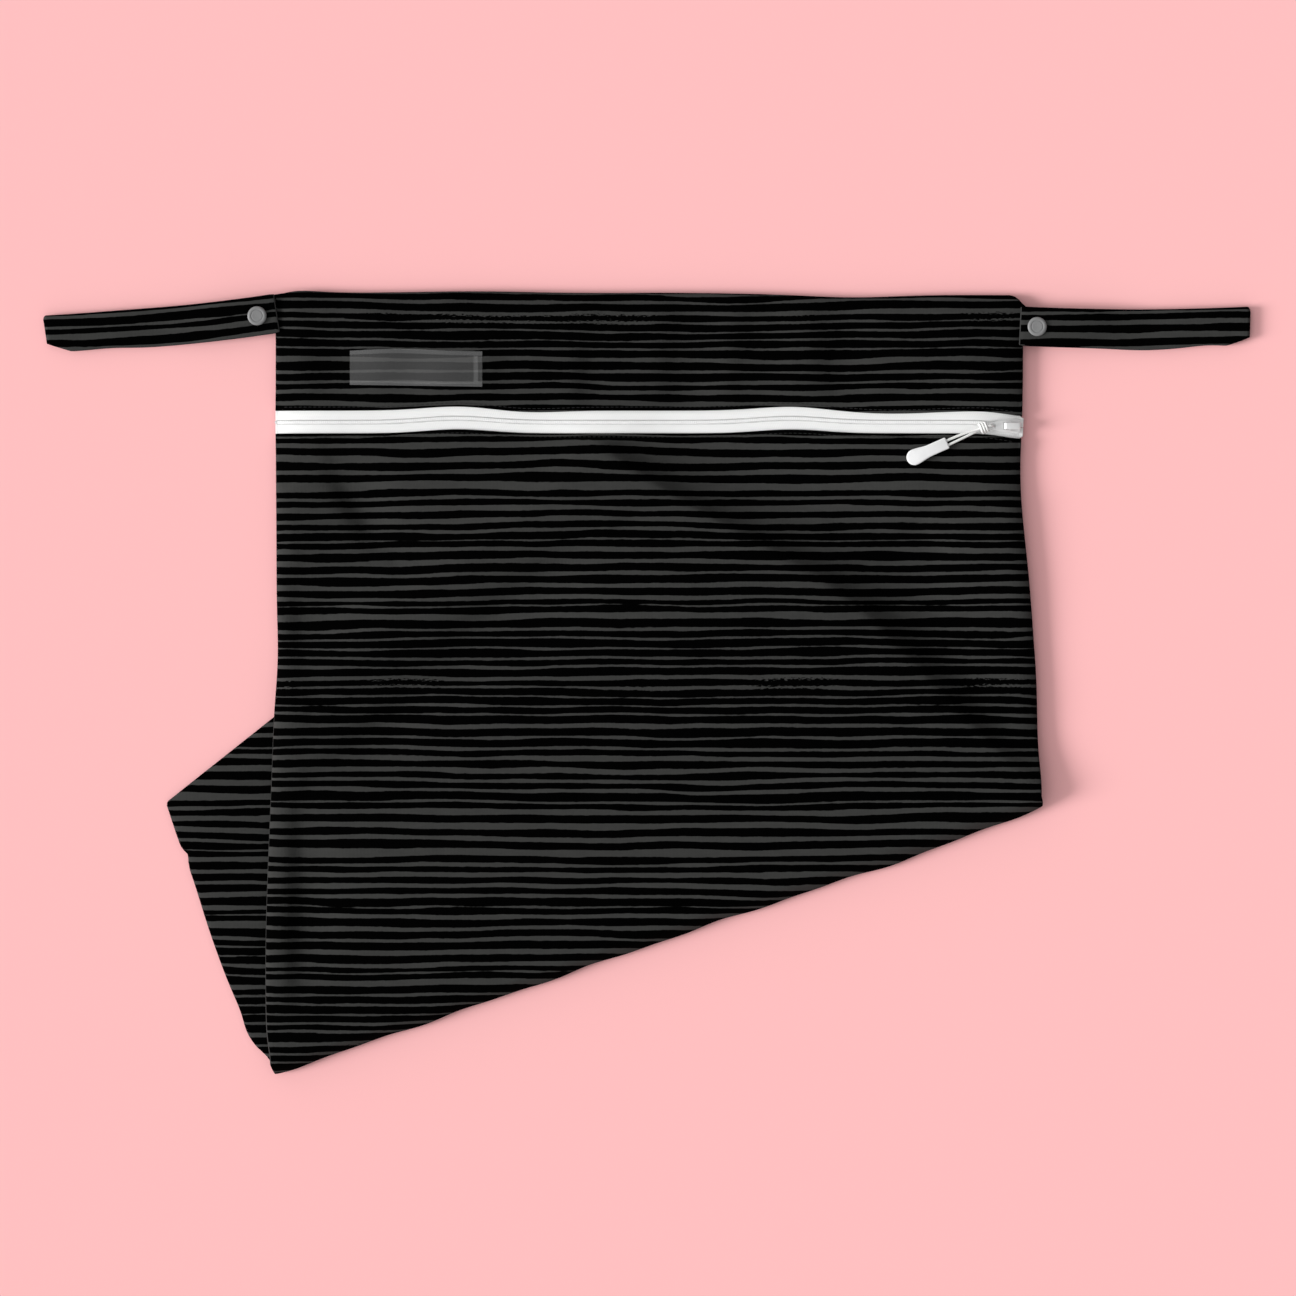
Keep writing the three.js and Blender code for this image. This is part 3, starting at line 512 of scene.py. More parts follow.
POUCH_DEPTH = 8.0
FLAP_DEPTH = 2.6
FOLD_DEPTH = 1.2
FOLD_RADIUS = 4.6
FOLD_PRESSED = 1.5  # above 1 the bend is pressed from a half circle towards a wedge
FOLD_SAG = 2.6  # how far the edge of that wedge has sunk below its middle
SEAM_LIFT = 0.55
SEAM_REACH = 40.0
TOP_REACH = 35.0
FLAP_REACH = 30.0
FOLD_REACH = 70.0
DRAPE_REACH = 40.0
DRAPE_MARGIN = 3.0
CREASE_BOWS = [(0.5, 20.0, 0.3)]
CREASE_FALLS = [  # share up the turned-under end's right edge, the front's fall beyond it, its reach
    (0.1, 5.5, 13.0), (0.3, 10.0, 20.0), (0.5, 13.0, 27.0), (0.75, 13.0, 19.0),
]
TROUGH_END = 90.0  # from the crease to where the front has risen again
PRESSED = 1.0  # the front comes no nearer than this to the back
LANDING = 0.3  # how softly it comes down there, as a share of the room that it has
TINY = 1e-6
FLAT_REACH = 14.0  # an empty bag's sides are flat to this near the seams
FLAT_BELOW = (135.0, 105.0)  # heights between which the sides go flat, clear of the zip
FRONT_DENTS = [  # x, y, depth, reach
    (-180, 105, 1.5, 38), (-200, 35, 1.3, 34), (-160, -25, 1.7, 42), (-200, -150, 1.5, 40),
    (160, 75, 1.4, 40),
]

ZIP_Y = 160.1
ZIP_WAVES = [(-117, 2.5, 29), (88, 2.4, 29), (232, -3.1, 18)]  # x, lift, spread
YOKE_DIPS = [(-72, 1.2, 26), (150, 1.9, 38)]  # x, how far the upper panel hangs over the tape, spread
ZIP_SHOWN = 14.0
ZIP_TUCK = 6.0
TAPE = 1.0
COIL_WIDTH = 2.6
COIL_RISE = 0.6
STRAP_WIDTH = 24.0
OPENING_FADE = 8.0
OPENING_DEEP = 24.0
LEFT_STRAP_Y = 226.4
RIGHT_STRAP_Y = 218.7

# %% [markdown]
# ## Folds that the light shows
# Cloth never lies quite flat. The lower end presses through as a crease, which has its own formula in
# the next step. A short table adds the soft valleys that show in the photograph, each a line with a
# depth and a width. A wave adds the upright ripples between the zip and the top seam, and two crossed
# waves add the slight unevenness that all cloth has.

# %% Soft valleys and ripples
VALLEYS = [  # upper end, lower end, depth, width of the steep left side
    ((-192, 131), (-165, 84), 5.4, 7), ((-214, 66), (-210, -2), 3.4, 8), ((-138, -8), (-197, -50), 4.2, 6),
    ((168, 102), (155, 42), 3.6, 9), ((-212, -70), (-213, -205), 4.8, 7), ((-36, 84), (-142, 3), 6.0, 12),
    ((-33, 214), (-37, 160), 3.8, 8), ((22, 232), (17, 172), 2.4, 9), ((66, 230), (58, 172), 2.6, 9),
    ((112, 228), (118, 176), 2.4, 9), ((-88, 234), (-84, 176), 1.8, 9), ((-205, 232), (-196, 172), 2.0, 9),
]
VALLEY_RISE = 2.6  # the right side is this much wider than the left
VALLEY_ENDS = 0.35  # share of a valley's depth that is left at its ends
RIPPLE_LENGTH = 44.0
RIPPLE_RISE = 0.5
RIPPLE_SHIFT = 40.0
RIPPLE_LEAN = 5.0  # how far a ripple leans to and fro
RIPPLE_LEAN_HEIGHT = 19.0
RIPPLE_FADE = 0.3  # share by which the ripples come and go along the bag
RIPPLE_FADE_WIDTH = 37.0
RIPPLES_FROM = (-20.0, 24.0)  # from the zip's line, where they start and where they are full
SWELLS = {"rise": 0.28, "wide": 27.0, "high": 33.0, "slant": 71.0, "bend": 1.3, "bend_high": 43.0}
CRUMPLES = {"rise": 0.10, "wide": 9.5, "lean": 21.0, "high": 12.5, "slant": 31.0}
PULL_LINE = ((157.0, 135.0), (232.0, 158.0))  # the tag and the slider lie along it, on calm cloth
PULL_CALM = (14.0, 36.0)
ZIP_CALM = (5.0, 18.0)  # from its middle line: a zip is stiffer than cloth, so folds fade out there


# %% Small formulas


def lerp(start, end, share):
    return start + (end - start) * share


def smoothstep(value, low, high):
    share = np.clip((value - low) / (high - low), 0, 1)
    return share * share * (3 - 2 * share)


def bell(offset, spread):
    return np.exp(-((offset / spread) ** 2))


def swell(distance, reach):
    return np.sqrt(1 - (1 - np.clip(distance / reach, 0, 1)) ** 2)


def bowed(bows, at):
    return sum(out * bell(at - place, spread) for place, out, spread in bows)


def corner_drop(distance, radius):
    short = np.clip(radius - distance, 0, radius)
    return radius - np.sqrt(radius**2 - short**2)


def zip_y(x):
    return ZIP_Y + sum(lift * bell(x - place, spread) for place, lift, spread in ZIP_WAVES)


def inside_line(start, end, x, y):
    """How far places are to the right of a line, seen along it."""
    along = (end - start) / np.linalg.norm(end - start)
    return (x - start[0]) * along[1] - (y - start[1]) * along[0]


def along_line(start, end, x, y):
    """The share along a line that is nearest to each place, and the distance from it."""
    run = np.subtract(end, start)
    share = np.clip(((x - start[0]) * run[0] + (y - start[1]) * run[1]) / run.dot(run), 0, 1)
    return share, np.hypot(x - start[0] - share * run[0], y - start[1] - share * run[1])


# %% The rise and fall of the front


def soft_folds(x, y):
    """How far the front panel rises or dips at a place, in millimetres."""
    rise = np.zeros_like(x)
    for upper, lower, depth, width in VALLEYS:
        share, away = along_line(upper, lower, x, y)
        taper = lerp(VALLEY_ENDS, 1, np.sin(math.pi * share))
        on_right = inside_line(np.array(upper), np.array(lower), x, y) < 0
        rise -= depth * taper * bell(away, width * np.where(on_right, VALLEY_RISE, 1))
    lean = RIPPLE_LEAN * np.sin(y / RIPPLE_LEAN_HEIGHT)
    ripple = RIPPLE_RISE * np.sin(2 * math.pi * (x - RIPPLE_SHIFT + lean) / RIPPLE_LENGTH)
    ripple *= 1 - RIPPLE_FADE * (1 - np.sin(x / RIPPLE_FADE_WIDTH))
    rise += ripple * smoothstep(y - ZIP_Y, *RIPPLES_FROM)
    bend = SWELLS["bend"] * np.sin(y / SWELLS["bend_high"])
    swells = np.sin(x / SWELLS["wide"] + bend) * np.sin(y / SWELLS["high"] + x / SWELLS["slant"])
    crumples = np.sin(x / CRUMPLES["wide"] + y / CRUMPLES["lean"])
    crumples *= np.sin(y / CRUMPLES["high"] - x / CRUMPLES["slant"])
    rise += SWELLS["rise"] * swells + CRUMPLES["rise"] * crumples
    _, from_pull = along_line(*PULL_LINE, x, y)
    return rise * smoothstep(from_pull, *PULL_CALM)


# %% The fold and the crease
fold_along = (FOLD_RIGHT - FOLD_LEFT) / np.linalg.norm(FOLD_RIGHT - FOLD_LEFT)
fold_out = np.array((fold_along[1], -fold_along[0]))
fold_thick = FOLD_RADIUS + FOLD_DEPTH / 2 + CLOTH
bend_left = FOLD_LEFT - fold_out * fold_thick
bend_right = FOLD_RIGHT - fold_out * fold_thick
flap_right_edge = FLAP_RIGHT - bend_right
flap_right_out = np.array((flap_right_edge[1], -flap_right_edge[0])) / np.linalg.norm(flap_right_edge)
flap_stack = 2 * CLOTH + FLAP_DEPTH + FLAP_ROOM
roll_rise = 2 * FOLD_RADIUS - flap_stack
bag_width = TOP_RIGHT[0] - TOP_LEFT[0]
tape_edge = ZIP_SHOWN / 2 + ZIP_TUCK


def from_bend(x, y):
    return (bend_left[0] - x) * fold_out[0] + (bend_left[1] - y) * fold_out[1]


def up_flap_right(x, y):
    """The share of places up the right edge of the turned-under end, from the fold to the end."""
    along = (x - bend_right[0]) * flap_right_edge[0] + (y - bend_right[1]) * flap_right_edge[1]
    return along / flap_right_edge.dot(flap_right_edge)


def past_flap_right(x, y, bows):
    """How far places lie past that edge, bowed out as a table says."""
    bow = bowed(bows, up_flap_right(x, y))
    return np.maximum(-inside_line(FLAP_RIGHT, bend_right, x, y) - bow - DRAPE_MARGIN, 0)


def past_flap_end(x, y):
    return np.maximum(-inside_line(FLAP_LEFT, FLAP_RIGHT, x, y) - DRAPE_MARGIN, 0)


def hang(past, reach):
    """1 over the turned-under end, falling to 0 at this reach past its edge."""
    return (1 - np.clip(past / reach, 0, 1)) ** 2


def front_crease(x, y):
    """The front's fall past the crease, beyond what the back panel's drape already gives it."""
    past = past_flap_right(x, y, CREASE_BOWS)
    shares, falls, reaches = np.transpose(CREASE_FALLS)
    drop = np.interp(up_flap_right(x, y), shares, falls)
    reach = np.interp(up_flap_right(x, y), shares, reaches)
    fall = drop * np.sin(math.pi / 2 * np.clip(past / reach, 0, 1))
    fall -= (drop - flap_stack) * smoothstep(past, reach, TROUGH_END)
    given = flap_stack * (1 - hang(past_flap_right(x, y, FLAP_RIGHT_BOWS), DRAPE_REACH))
    return (given - fall) * hang(past_flap_end(x, y), DRAPE_REACH)


# %% Four levels of cloth above the bend
BACK_OUT, BACK_IN, FRONT_IN, FRONT_OUT = range(4)
FOLDS_FULL = (0.1, 0.8)  # shares of the swelling between which folds grow to their full size
FOLDS_CLEAR = (0.05, 0.6)  # and shares of the way from the bend
CLOSING_STEPS = 6


def seam_room(y, from_left, from_right):
    """Room that a strap or the zip needs where it passes through a side seam."""
    strap_room = CLOTH + 3 * CLEARANCE
    zip_room = TAPE + 3 * CLEARANCE
    openings = [
        (from_left, LEFT_STRAP_Y, STRAP_WIDTH / 2, strap_room),
        (from_right, RIGHT_STRAP_Y, STRAP_WIDTH / 2, strap_room),
        (from_left, zip_y(TOP_LEFT[0]), tape_edge, zip_room),
        (from_right, zip_y(TOP_RIGHT[0]), tape_edge, zip_room),
    ]
    room = np.zeros_like(from_left)
    for inward, middle, half_length, needed in openings:
        along_seam = 1 - smoothstep(np.abs(y - middle) - half_length, 0, OPENING_FADE)
        into_bag = 1 - smoothstep(inward, OPENING_FADE, OPENING_DEEP)
        room = np.maximum(room, needed * along_seam * into_bag)
    return room


def top_y(across):
    straight = lerp(TOP_LEFT[1], TOP_RIGHT[1], across) + bowed(TOP_BOWS, across)
    left = corner_drop(across * bag_width, TOP_LEFT_CORNER)
    return straight - left - corner_drop((1 - across) * bag_width, TOP_RIGHT_CORNER)


def bend_y(across):
    return lerp(bend_left[1], bend_right[1], across)


def pressed_room(depth, rise):
    """The room between the panels: the front sinks no further than to the back and lands softly on it."""
    least = np.minimum(depth, PRESSED)
    spare = np.maximum(depth - least, TINY)
    share = 1 + np.minimum(rise, 0) / spare
    landed = (share + np.sqrt(share**2 + LANDING**2)) / (1 + math.sqrt(1 + LANDING**2))
    return least + spare * landed + np.maximum(rise, 0)


def main_levels(across, y):
    """Four faces of the pouch above the bend, as points, at shares across and heights up the bag."""
    top = top_y(across)
    down = (top - y) / (top - bend_y(across))
    left = lerp(TOP_LEFT[0], bend_left[0], down) - bowed(LEFT_BOWS, down)
    right = lerp(TOP_RIGHT[0], bend_right[0], down) + bowed(RIGHT_BOWS, down)
    x = lerp(left, right, across)
    from_left = across * (right - left)
    from_right = (1 - across) * (right - left)
    reach = lerp(FLAT_REACH, SEAM_REACH, smoothstep(y, FLAT_BELOW[1], FLAT_BELOW[0]))
    full = swell(from_left, reach) * swell(from_right, reach) * swell(top - y, TOP_REACH)
    clear = smoothstep(from_bend(x, y), 0, FOLD_REACH)
    dent = sum(depth * bell(np.hypot(x - dx, y - dy), reach) for dx, dy, depth, reach in FRONT_DENTS)
    swollen = SEAM_GAP + full * (lerp(FOLD_DEPTH, POUCH_DEPTH - dent, clear) - SEAM_GAP)
    depth = np.maximum(swollen, seam_room(y, from_left, from_right))
    lift = SEAM_LIFT * POUCH_DEPTH / 2 * (1 - full) * clear
    drape = hang(past_flap_right(x, y, FLAP_RIGHT_BOWS), DRAPE_REACH)
    drape = drape * hang(past_flap_end(x, y), DRAPE_REACH)
    low = drape * flap_stack + roll_rise * (1 - clear) + lift
    rise = (soft_folds(x, y) + front_crease(x, y)) * smoothstep(np.abs(y - zip_y(x)), *ZIP_CALM)
    rise = rise * smoothstep(full, *FOLDS_FULL) * smoothstep(clear, *FOLDS_CLEAR)
    room = pressed_room(depth, rise)
    levels = [low, low + CLOTH, low + CLOTH + room, low + 2 * CLOTH + room]
    return np.stack([np.stack([x, y, z], axis=-1) for z in levels])


def main_levels_at(x, y):
    """The same at a point of the plan, found by closing in on its share across the bag."""
    across = (x - TOP_LEFT[0]) / bag_width
    for _ in range(CLOSING_STEPS):
        across = across + (x - main_levels(across, y)[FRONT_OUT][..., 0]) / bag_width
    return main_levels(across, y)


# %% Four levels round the fold


def fold_depth(across):
    width = np.linalg.norm(bend_right - bend_left)
    full = swell(across * width, FLAT_REACH) * swell((1 - across) * width, FLAT_REACH)
    return SEAM_GAP + full * (FOLD_DEPTH - SEAM_GAP)


def fold_bow(across):
    return bowed(FOLD_BOWS, across) + sum(size * np.sin(turns * across) for size, turns in FOLD_WOBBLES)


def fold_reach_and_rise(turn):
    """How far out and how high the pressed bend is at a turn, as shares of its radius."""
    rise = math.cos(turn)
    return math.sin(turn) ** FOLD_PRESSED, math.copysign(abs(rise) ** FOLD_PRESSED, rise)


def fold_levels(across, turn):
    """Four faces where the cloth bends round the fold, turned from 0 to half a turn."""
    reach, rise = fold_reach_and_rise(turn)
    depth = fold_depth(across)
    middle = FOLD_RADIUS + depth / 2 + CLOTH
    foot = lerp(bend_left, bend_right, across[:, None])
    side_bow = lerp(-bowed(LEFT_BOWS, 1.0), bowed(RIGHT_BOWS, 1.0), across)
    foot[:, 0] += side_bow * (1 + math.cos(turn)) / 2
    bow = fold_bow(across)
    faces = []
    for level in (-depth / 2 - CLOTH, -depth / 2, depth / 2, depth / 2 + CLOTH):
        radius = FOLD_RADIUS + level
        out = foot + fold_out * ((radius + bow) * reach)[:, None]
        faces.append(np.column_stack([out, middle + radius * rise - FOLD_SAG * reach**2]))
    return np.stack(faces)


# %% Four levels of the turned-under end


def flap_levels(across, share):
    """Four faces of the turned-under end, from the bend (0) to the bottom seam (1)."""
    bend_point = lerp(bend_left, bend_right, across[:, None])
    end_point = lerp(FLAP_LEFT, FLAP_RIGHT, across[:, None])
    length = np.linalg.norm(end_point - bend_point, axis=1)
    width = np.linalg.norm(FLAP_RIGHT - FLAP_LEFT)
    from_left = across * width
    from_right = (1 - across) * width
    rounded = corner_drop(from_left, FLAP_CORNER) + corner_drop(from_right, FLAP_CORNER)
    along = share * (1 - rounded / length)
    left = lerp(bend_left, FLAP_LEFT, along[:, None])
    left_bow = bowed(FLAP_LEFT_BOWS, along) * smoothstep(along, 0, FLAP_BOWS_FROM)
    left[:, 0] -= left_bow + bowed(FLAP_LEFT_NICKS, along)
    right = lerp(bend_right, FLAP_RIGHT, along[:, None])
    right_bow = bowed(FLAP_RIGHT_BOWS, along) * smoothstep(along, 0, FLAP_RIGHT_BOWS[0][0] / 2)
    right += flap_right_out * right_bow[:, None]
    foot = lerp(left, right, across[:, None])
    full = swell(from_left, FLAP_REACH) * swell(from_right, FLAP_REACH)
    full = full * swell((1 - share) * length, FLAP_REACH)
    clear = smoothstep(share * length, 0, FOLD_REACH)
    depth = lerp(fold_depth(across), SEAM_GAP + full * (FLAP_DEPTH - SEAM_GAP), clear)
    levels = (2 * CLOTH + depth, CLOTH + depth, np.full_like(depth, CLOTH), np.zeros_like(depth))
    return np.stack([np.column_stack([foot, z]) for z in levels])


# %% [markdown]
# ## Striped cloth
# The print is a hand-drawn set of grey lines on black, in a repeat of about 225 mm. The lines were read
# into a short chart: how far down each one is, and how wide. A colour ramp can hold the signed
# distance to the nearest line's edge, and the cut at zero gives crisp edges at any size. Noise then makes
# the lines wander, swell and fray as a brush does. One ramp is too coarse for the whole repeat, so three
# share it.

# %% Chart of the lines
REPEAT = 224.7
CHART_TOP = 227.4  # height on the bag of the chart's first line
CHART_LINES = [  # down, width
    (0.0, 2.8), (5.7, 1.7), (11.3, 1.2), (16.9, 1.3), (22.3, 1.4), (29.3, 3.1), (36.3, 1.8), (43.0, 2.3),
    (48.9, 3.1), (56.0, 3.3), (62.3, 2.5), (68.4, 2.5), (75.6, 1.5), (81.5, 3.7), (89.7, 4.1), (97.8, 3.4),
    (106.6, 5.3), (113.8, 2.2), (120.3, 3.8), (127.6, 3.5), (134.2, 2.3), (140.1, 0.9), (145.9, 3.3),
    (153.7, 3.1), (160.7, 2.3), (168.3, 3.5), (175.8, 2.8), (180.4, 1.0), (186.9, 4.7), (195.1, 2.1),
    (200.7, 1.5), (206.8, 1.2), (212.5, 1.7), (217.7, 1.8),
]
RAMPS = 3
CHART_SPAN = 8.0  # millimetres of signed distance that a ramp's range holds
LINE_GREY = (0.048, 0.048, 0.046)
LINE_GREY_WORN = (0.036, 0.036, 0.035)
CLOTH_BLACK = (0.0003, 0.0003, 0.0003)
LINE_SHARE = 0.86  # of a line's width in the chart, which was read a little wide
EDGE_LEVEL = 0.5  # a ramp's level where a line ends


def signed_distances():
    """Places down the repeat and the signed distance there: lines' middles above zero, gaps' below."""
    wrapped = []
    for turn in (-1, 0, 1):
        wrapped += [(down + turn * REPEAT, LINE_SHARE * width) for down, width in CHART_LINES]
    places = []
    for (down, width), (next_down, next_width) in zip(wrapped, wrapped[1:]):
        gap = next_down - next_width / 2 - down - width / 2
        places.append((down, width / 2))
        places.append((down + width / 2 + gap / 2, -gap / 2))
    return np.array(places)


def chart_ramp(tree, share, ramp_number):
    """One third of the chart as a colour ramp."""
    start = REPEAT * ramp_number / RAMPS
    end = REPEAT * (ramp_number + 1) / RAMPS
    chart = signed_distances()
    inside = chart[(chart[:, 0] > start) & (chart[:, 0] < end)]
    ends = np.interp((start, end), chart[:, 0], chart[:, 1])
    stops = [(start, ends[0]), *inside, (end, ends[1])]
    scaled = sum_node(tree, "MULTIPLY_ADD", share, float(RAMPS), -float(ramp_number))
    node = add_node(tree, "ShaderNodeValToRGB", scaled)
    while len(node.color_ramp.elements) < len(stops):
        node.color_ramp.elements.new(EDGE_LEVEL)
    for element, (down, distance) in zip(node.color_ramp.elements, stops):
        element.position = (down - start) / (end - start)
        level = EDGE_LEVEL + distance / CHART_SPAN
        element.color = (level, level, level, 1)
    return node.outputs["Color"]


# %% Wandering, swelling and dry-brushed lines
DRY_REACH = 10.0  # the brush runs dry on the first lines of the repeat, this far down
DRY_PATCH = 60.0
DRY_FROM = (0.5, 0.62)  # noise between which a patch goes from wet to dry
LINE_EDGE = 0.16  # how softly a line ends
WALE = 0.85
COURSE = 0.65


def line_distance(tree, place):
    """Signed distance to the edge of the nearest printed line, in metres."""
    height = add_node(tree, "ShaderNodeSeparateXYZ", place).outputs["Y"]
    wander = swing(tree, stretched_noise(tree, place, across=95, along=17, detail=1.0), size=5.2)
    drift = swing(tree, stretched_noise(tree, place, across=260, along=150, detail=0.0), size=5.0)
    moved = sum_node(tree, "ADD", height, sum_node(tree, "ADD", wander, drift))
    down = sum_node(tree, "SUBTRACT", CHART_TOP * MM, moved)
    share = sum_node(tree, "FRACT", sum_node(tree, "DIVIDE", down, REPEAT * MM))
    level = chart_ramp(tree, share, 0)
    for ramp_number in range(1, RAMPS):
        past = sum_node(tree, "GREATER_THAN", share, ramp_number / RAMPS)
        mix = add_node(tree, "ShaderNodeMix", past, data_type="FLOAT")
        tree.links.new(level, mix.inputs["A"])
        tree.links.new(chart_ramp(tree, share, ramp_number), mix.inputs["B"])
        level = mix.outputs["Result"]
    over_edge = sum_node(tree, "SUBTRACT", level, EDGE_LEVEL)
    distance = sum_node(tree, "MULTIPLY", over_edge, CHART_SPAN * MM)
    swelling = swing(tree, stretched_noise(tree, place, across=42, along=5.5, detail=1.0), size=2.0)
    fraying = swing(tree, stretched_noise(tree, place, across=5.0, along=1.4, detail=2.0), size=0.8)
    distance = sum_node(tree, "ADD", distance, sum_node(tree, "ADD", swelling, fraying))
    near_first = add_node(tree, "ShaderNodeMapRange", share, 0.0, DRY_REACH / REPEAT, 1.0, 0.0).outputs[0]
    patches = stretched_noise(tree, place, DRY_PATCH, DRY_PATCH, detail=0.0)
    dry_patch = add_node(tree, "ShaderNodeMapRange", patches, *DRY_FROM, 0.0, 1.0).outputs[0]
    speckle = swing(tree, stretched_noise(tree, place, across=2.4, along=0.7, detail=4.0), size=8.0)
    dry = sum_node(tree, "MULTIPLY", sum_node(tree, "MULTIPLY", near_first, dry_patch), speckle)
    return sum_node(tree, "ADD", distance, dry)


def striped_cloth():
    finish, tree, shader = new_finish("striped_cloth", CLOTH_BLACK, roughness=0.92, specular=0.012)
    place = cloth_map(tree)
    distance = line_distance(tree, place)
    soft_edge = LINE_EDGE * MM
    line = add_node(tree, "ShaderNodeMapRange", distance, -soft_edge, soft_edge, 0.0, 1.0).outputs[0]
    worn = stretched_noise(tree, place, across=9, along=3, detail=3.0)
    grey = add_node(tree, "ShaderNodeMix", worn, data_type="RGBA")
    grey.inputs["A"].default_value = (*LINE_GREY_WORN, 1)
    grey.inputs["B"].default_value = (*LINE_GREY, 1)
    grey_out = next(out for out in grey.outputs if out.type == "RGBA")
    mix = tint(tree, shader, line, CLOTH_BLACK, LINE_GREY)
    tree.links.new(grey_out, mix.inputs["B"])
    wales = slanting_wave(tree, place, WALE, turn=0.0)
    courses = slanting_wave(tree, place, COURSE, turn=math.pi / 2)
    knit = sum_node(tree, "MULTIPLY", wales, courses)
    uneven = stretched_noise(tree, place, across=2.0, along=2.0, detail=3.0)
    loose = sum_node(tree, "ADD", knit, uneven)
    add_bump(tree, shader, loose, depth=0.10)
    return finish


print_cloth = striped_cloth()
# A pale grey for chosen rims: a painted highlight where light would catch the edge.
painted_edge_highlight, _, _ = new_finish("painted_edge_highlight", colour=(0.035, 0.035, 0.034), roughness=0.9, specular=0.1)
print("chart lines", len(CHART_LINES))

# %% [markdown]
# ## The cloth panels
# Each panel is a closed wall between two of the four levels. Columns crowd towards the side seams and
# rows towards the top seam, where the cloth curves most. The UV map is the cloth as it was cut: the print
# runs on round the fold of the front panel. The back panel's print sits a little higher.

# %% Rows and columns of the grids
SEAM_STEPS = 16
MIDDLE_STEPS = 108
TOP_STEPS = 14
YOKE_STEPS = 12
UNDER_ZIP_STEPS = 4
BODY_STEPS = 112
FOLD_STEPS = 22
FLAP_STEPS = 54
FLAP_END_STEPS = 14
CROWDING = 1.3
BACK_PRINT = (310.0, -34.6)  # how far the back panel's print is moved

near_share = SEAM_REACH / bag_width
near = near_share * (np.arange(SEAM_STEPS) / SEAM_STEPS) ** CROWDING
middle_shares = np.linspace(near_share, 1 - near_share, MIDDLE_STEPS + 1)
columns = np.concatenate([near, middle_shares, 1 - near[::-1]])


def zip_x(across):
    return main_levels(across, np.full_like(across, ZIP_Y))[FRONT_OUT][:, 0]


def zip_edge(offset, across=columns):
    return zip_y(zip_x(across)) + offset


def yoke_edge(inset=0.0, across=columns):
    """The upper panel's edge over the tape, or a line this far above it."""
    dip = sum(down * bell(zip_x(across) - place, spread) for place, down, spread in YOKE_DIPS)
    return zip_edge(ZIP_SHOWN / 2 + inset, across) - dip


def rows_between(start, end, steps, skip=0):
    return [main_levels(columns, lerp(start, end, step / steps)) for step in range(skip, steps + 1)]


top_drop = TOP_REACH * (np.arange(TOP_STEPS) / TOP_STEPS) ** CROWDING
top_rows = [main_levels(columns, top_y(columns) - drop) for drop in top_drop]
yoke_rows = top_rows + rows_between(top_y(columns) - TOP_REACH, yoke_edge(), YOKE_STEPS)
under_zip = rows_between(yoke_edge(), zip_edge(-ZIP_SHOWN / 2), UNDER_ZIP_STEPS)[1:-1]
body_rows = rows_between(zip_edge(-ZIP_SHOWN / 2), bend_y(columns), BODY_STEPS)
fold_turns = np.linspace(0, math.pi, FOLD_STEPS + 1)[1:]
fold_rows = [fold_levels(columns, turn) for turn in fold_turns]
even_end = 1 - FLAP_REACH / np.linalg.norm(FLAP_LEFT - bend_left)
even_shares = even_end * np.arange(1, FLAP_STEPS + 1) / FLAP_STEPS
end_shares = 1 - (1 - even_end) * (np.arange(FLAP_END_STEPS - 1, -1, -1) / FLAP_END_STEPS) ** CROWDING
flap_rows = [flap_levels(columns, share) for share in np.concatenate([even_shares, end_shares])]
print("columns", len(columns), "rows", len(yoke_rows), len(body_rows), len(fold_rows), len(flap_rows))

# %% The cloth as it was cut


def face_of(rows, level):
    return np.stack([row[level] for row in rows])


def plan_of(rows, shift=(0.0, 0.0)):
    return face_of(rows, FRONT_OUT)[..., :2] + np.array(shift)


bend_feet = lerp(bend_left, bend_right, columns[:, None])
fold_reach = FOLD_RADIUS + fold_depth(columns) / 2 + CLOTH + fold_bow(columns)


def past_bend(turn):
    """How far the print runs past the bend: straight on as seen from above, then on round the fold."""
    reach, _ = fold_reach_and_rise(min(turn, math.pi / 2))
    return fold_reach * reach + FOLD_RADIUS * max(turn - math.pi / 2, 0)


fold_print = np.stack([bend_feet + fold_out * past_bend(turn)[:, None] for turn in fold_turns])
flap_plan = plan_of(flap_rows)
flap_past = 2 * from_bend(flap_plan[..., 0], flap_plan[..., 1]) + past_bend(math.pi)
flap_print = flap_plan + fold_out * flap_past[..., None]
front_print = np.concatenate([plan_of(body_rows), fold_print, flap_print])

lower_rows = body_rows + fold_rows + flap_rows
back_rows = yoke_rows + under_zip + lower_rows

# %% Panels
EDGE_HIGHLIGHT_BELOW = -20.0  # the left edge's rim is painted a lighter grey where it lies over the turned-under end, a painted highlight

front_upper = cloth_wall(
    "front_upper_cloth", face_of(yoke_rows, FRONT_OUT), face_of(yoke_rows, FRONT_IN),
    plan_of(yoke_rows), [print_cloth],
)
front_face = face_of(lower_rows, FRONT_OUT)
# The left edge's rim over the turned-under end gets the pale grey: a painted highlight.
left_rim_highlight = np.zeros(front_face.shape[:2], bool)
left_rim_highlight[: len(body_rows), 0] = front_face[: len(body_rows), 0, 1] < EDGE_HIGHLIGHT_BELOW
front_lower = cloth_wall(
    "front_lower_cloth", front_face, face_of(lower_rows, FRONT_IN),
    front_print, [print_cloth, painted_edge_highlight], left_rim_highlight,
)
back_cloth = cloth_wall(
    "back_cloth", face_of(back_rows, BACK_IN), face_of(back_rows, BACK_OUT),
    plan_of(back_rows, BACK_PRINT), [print_cloth],
)
keep(front_upper, "striped_cloth", "front_panel_upper")
keep(front_lower, "striped_cloth", "front_panel_lower")
keep(back_cloth, "striped_cloth", "back_panel")

# %% [markdown]
# ## The zip
# Two white woven tapes are sewn under the panels' edges, and a closed coil joins them. The tapes are thin
# walls that follow the panels. Ribs of fine weave come from crossed waves on the tape's own UV map.

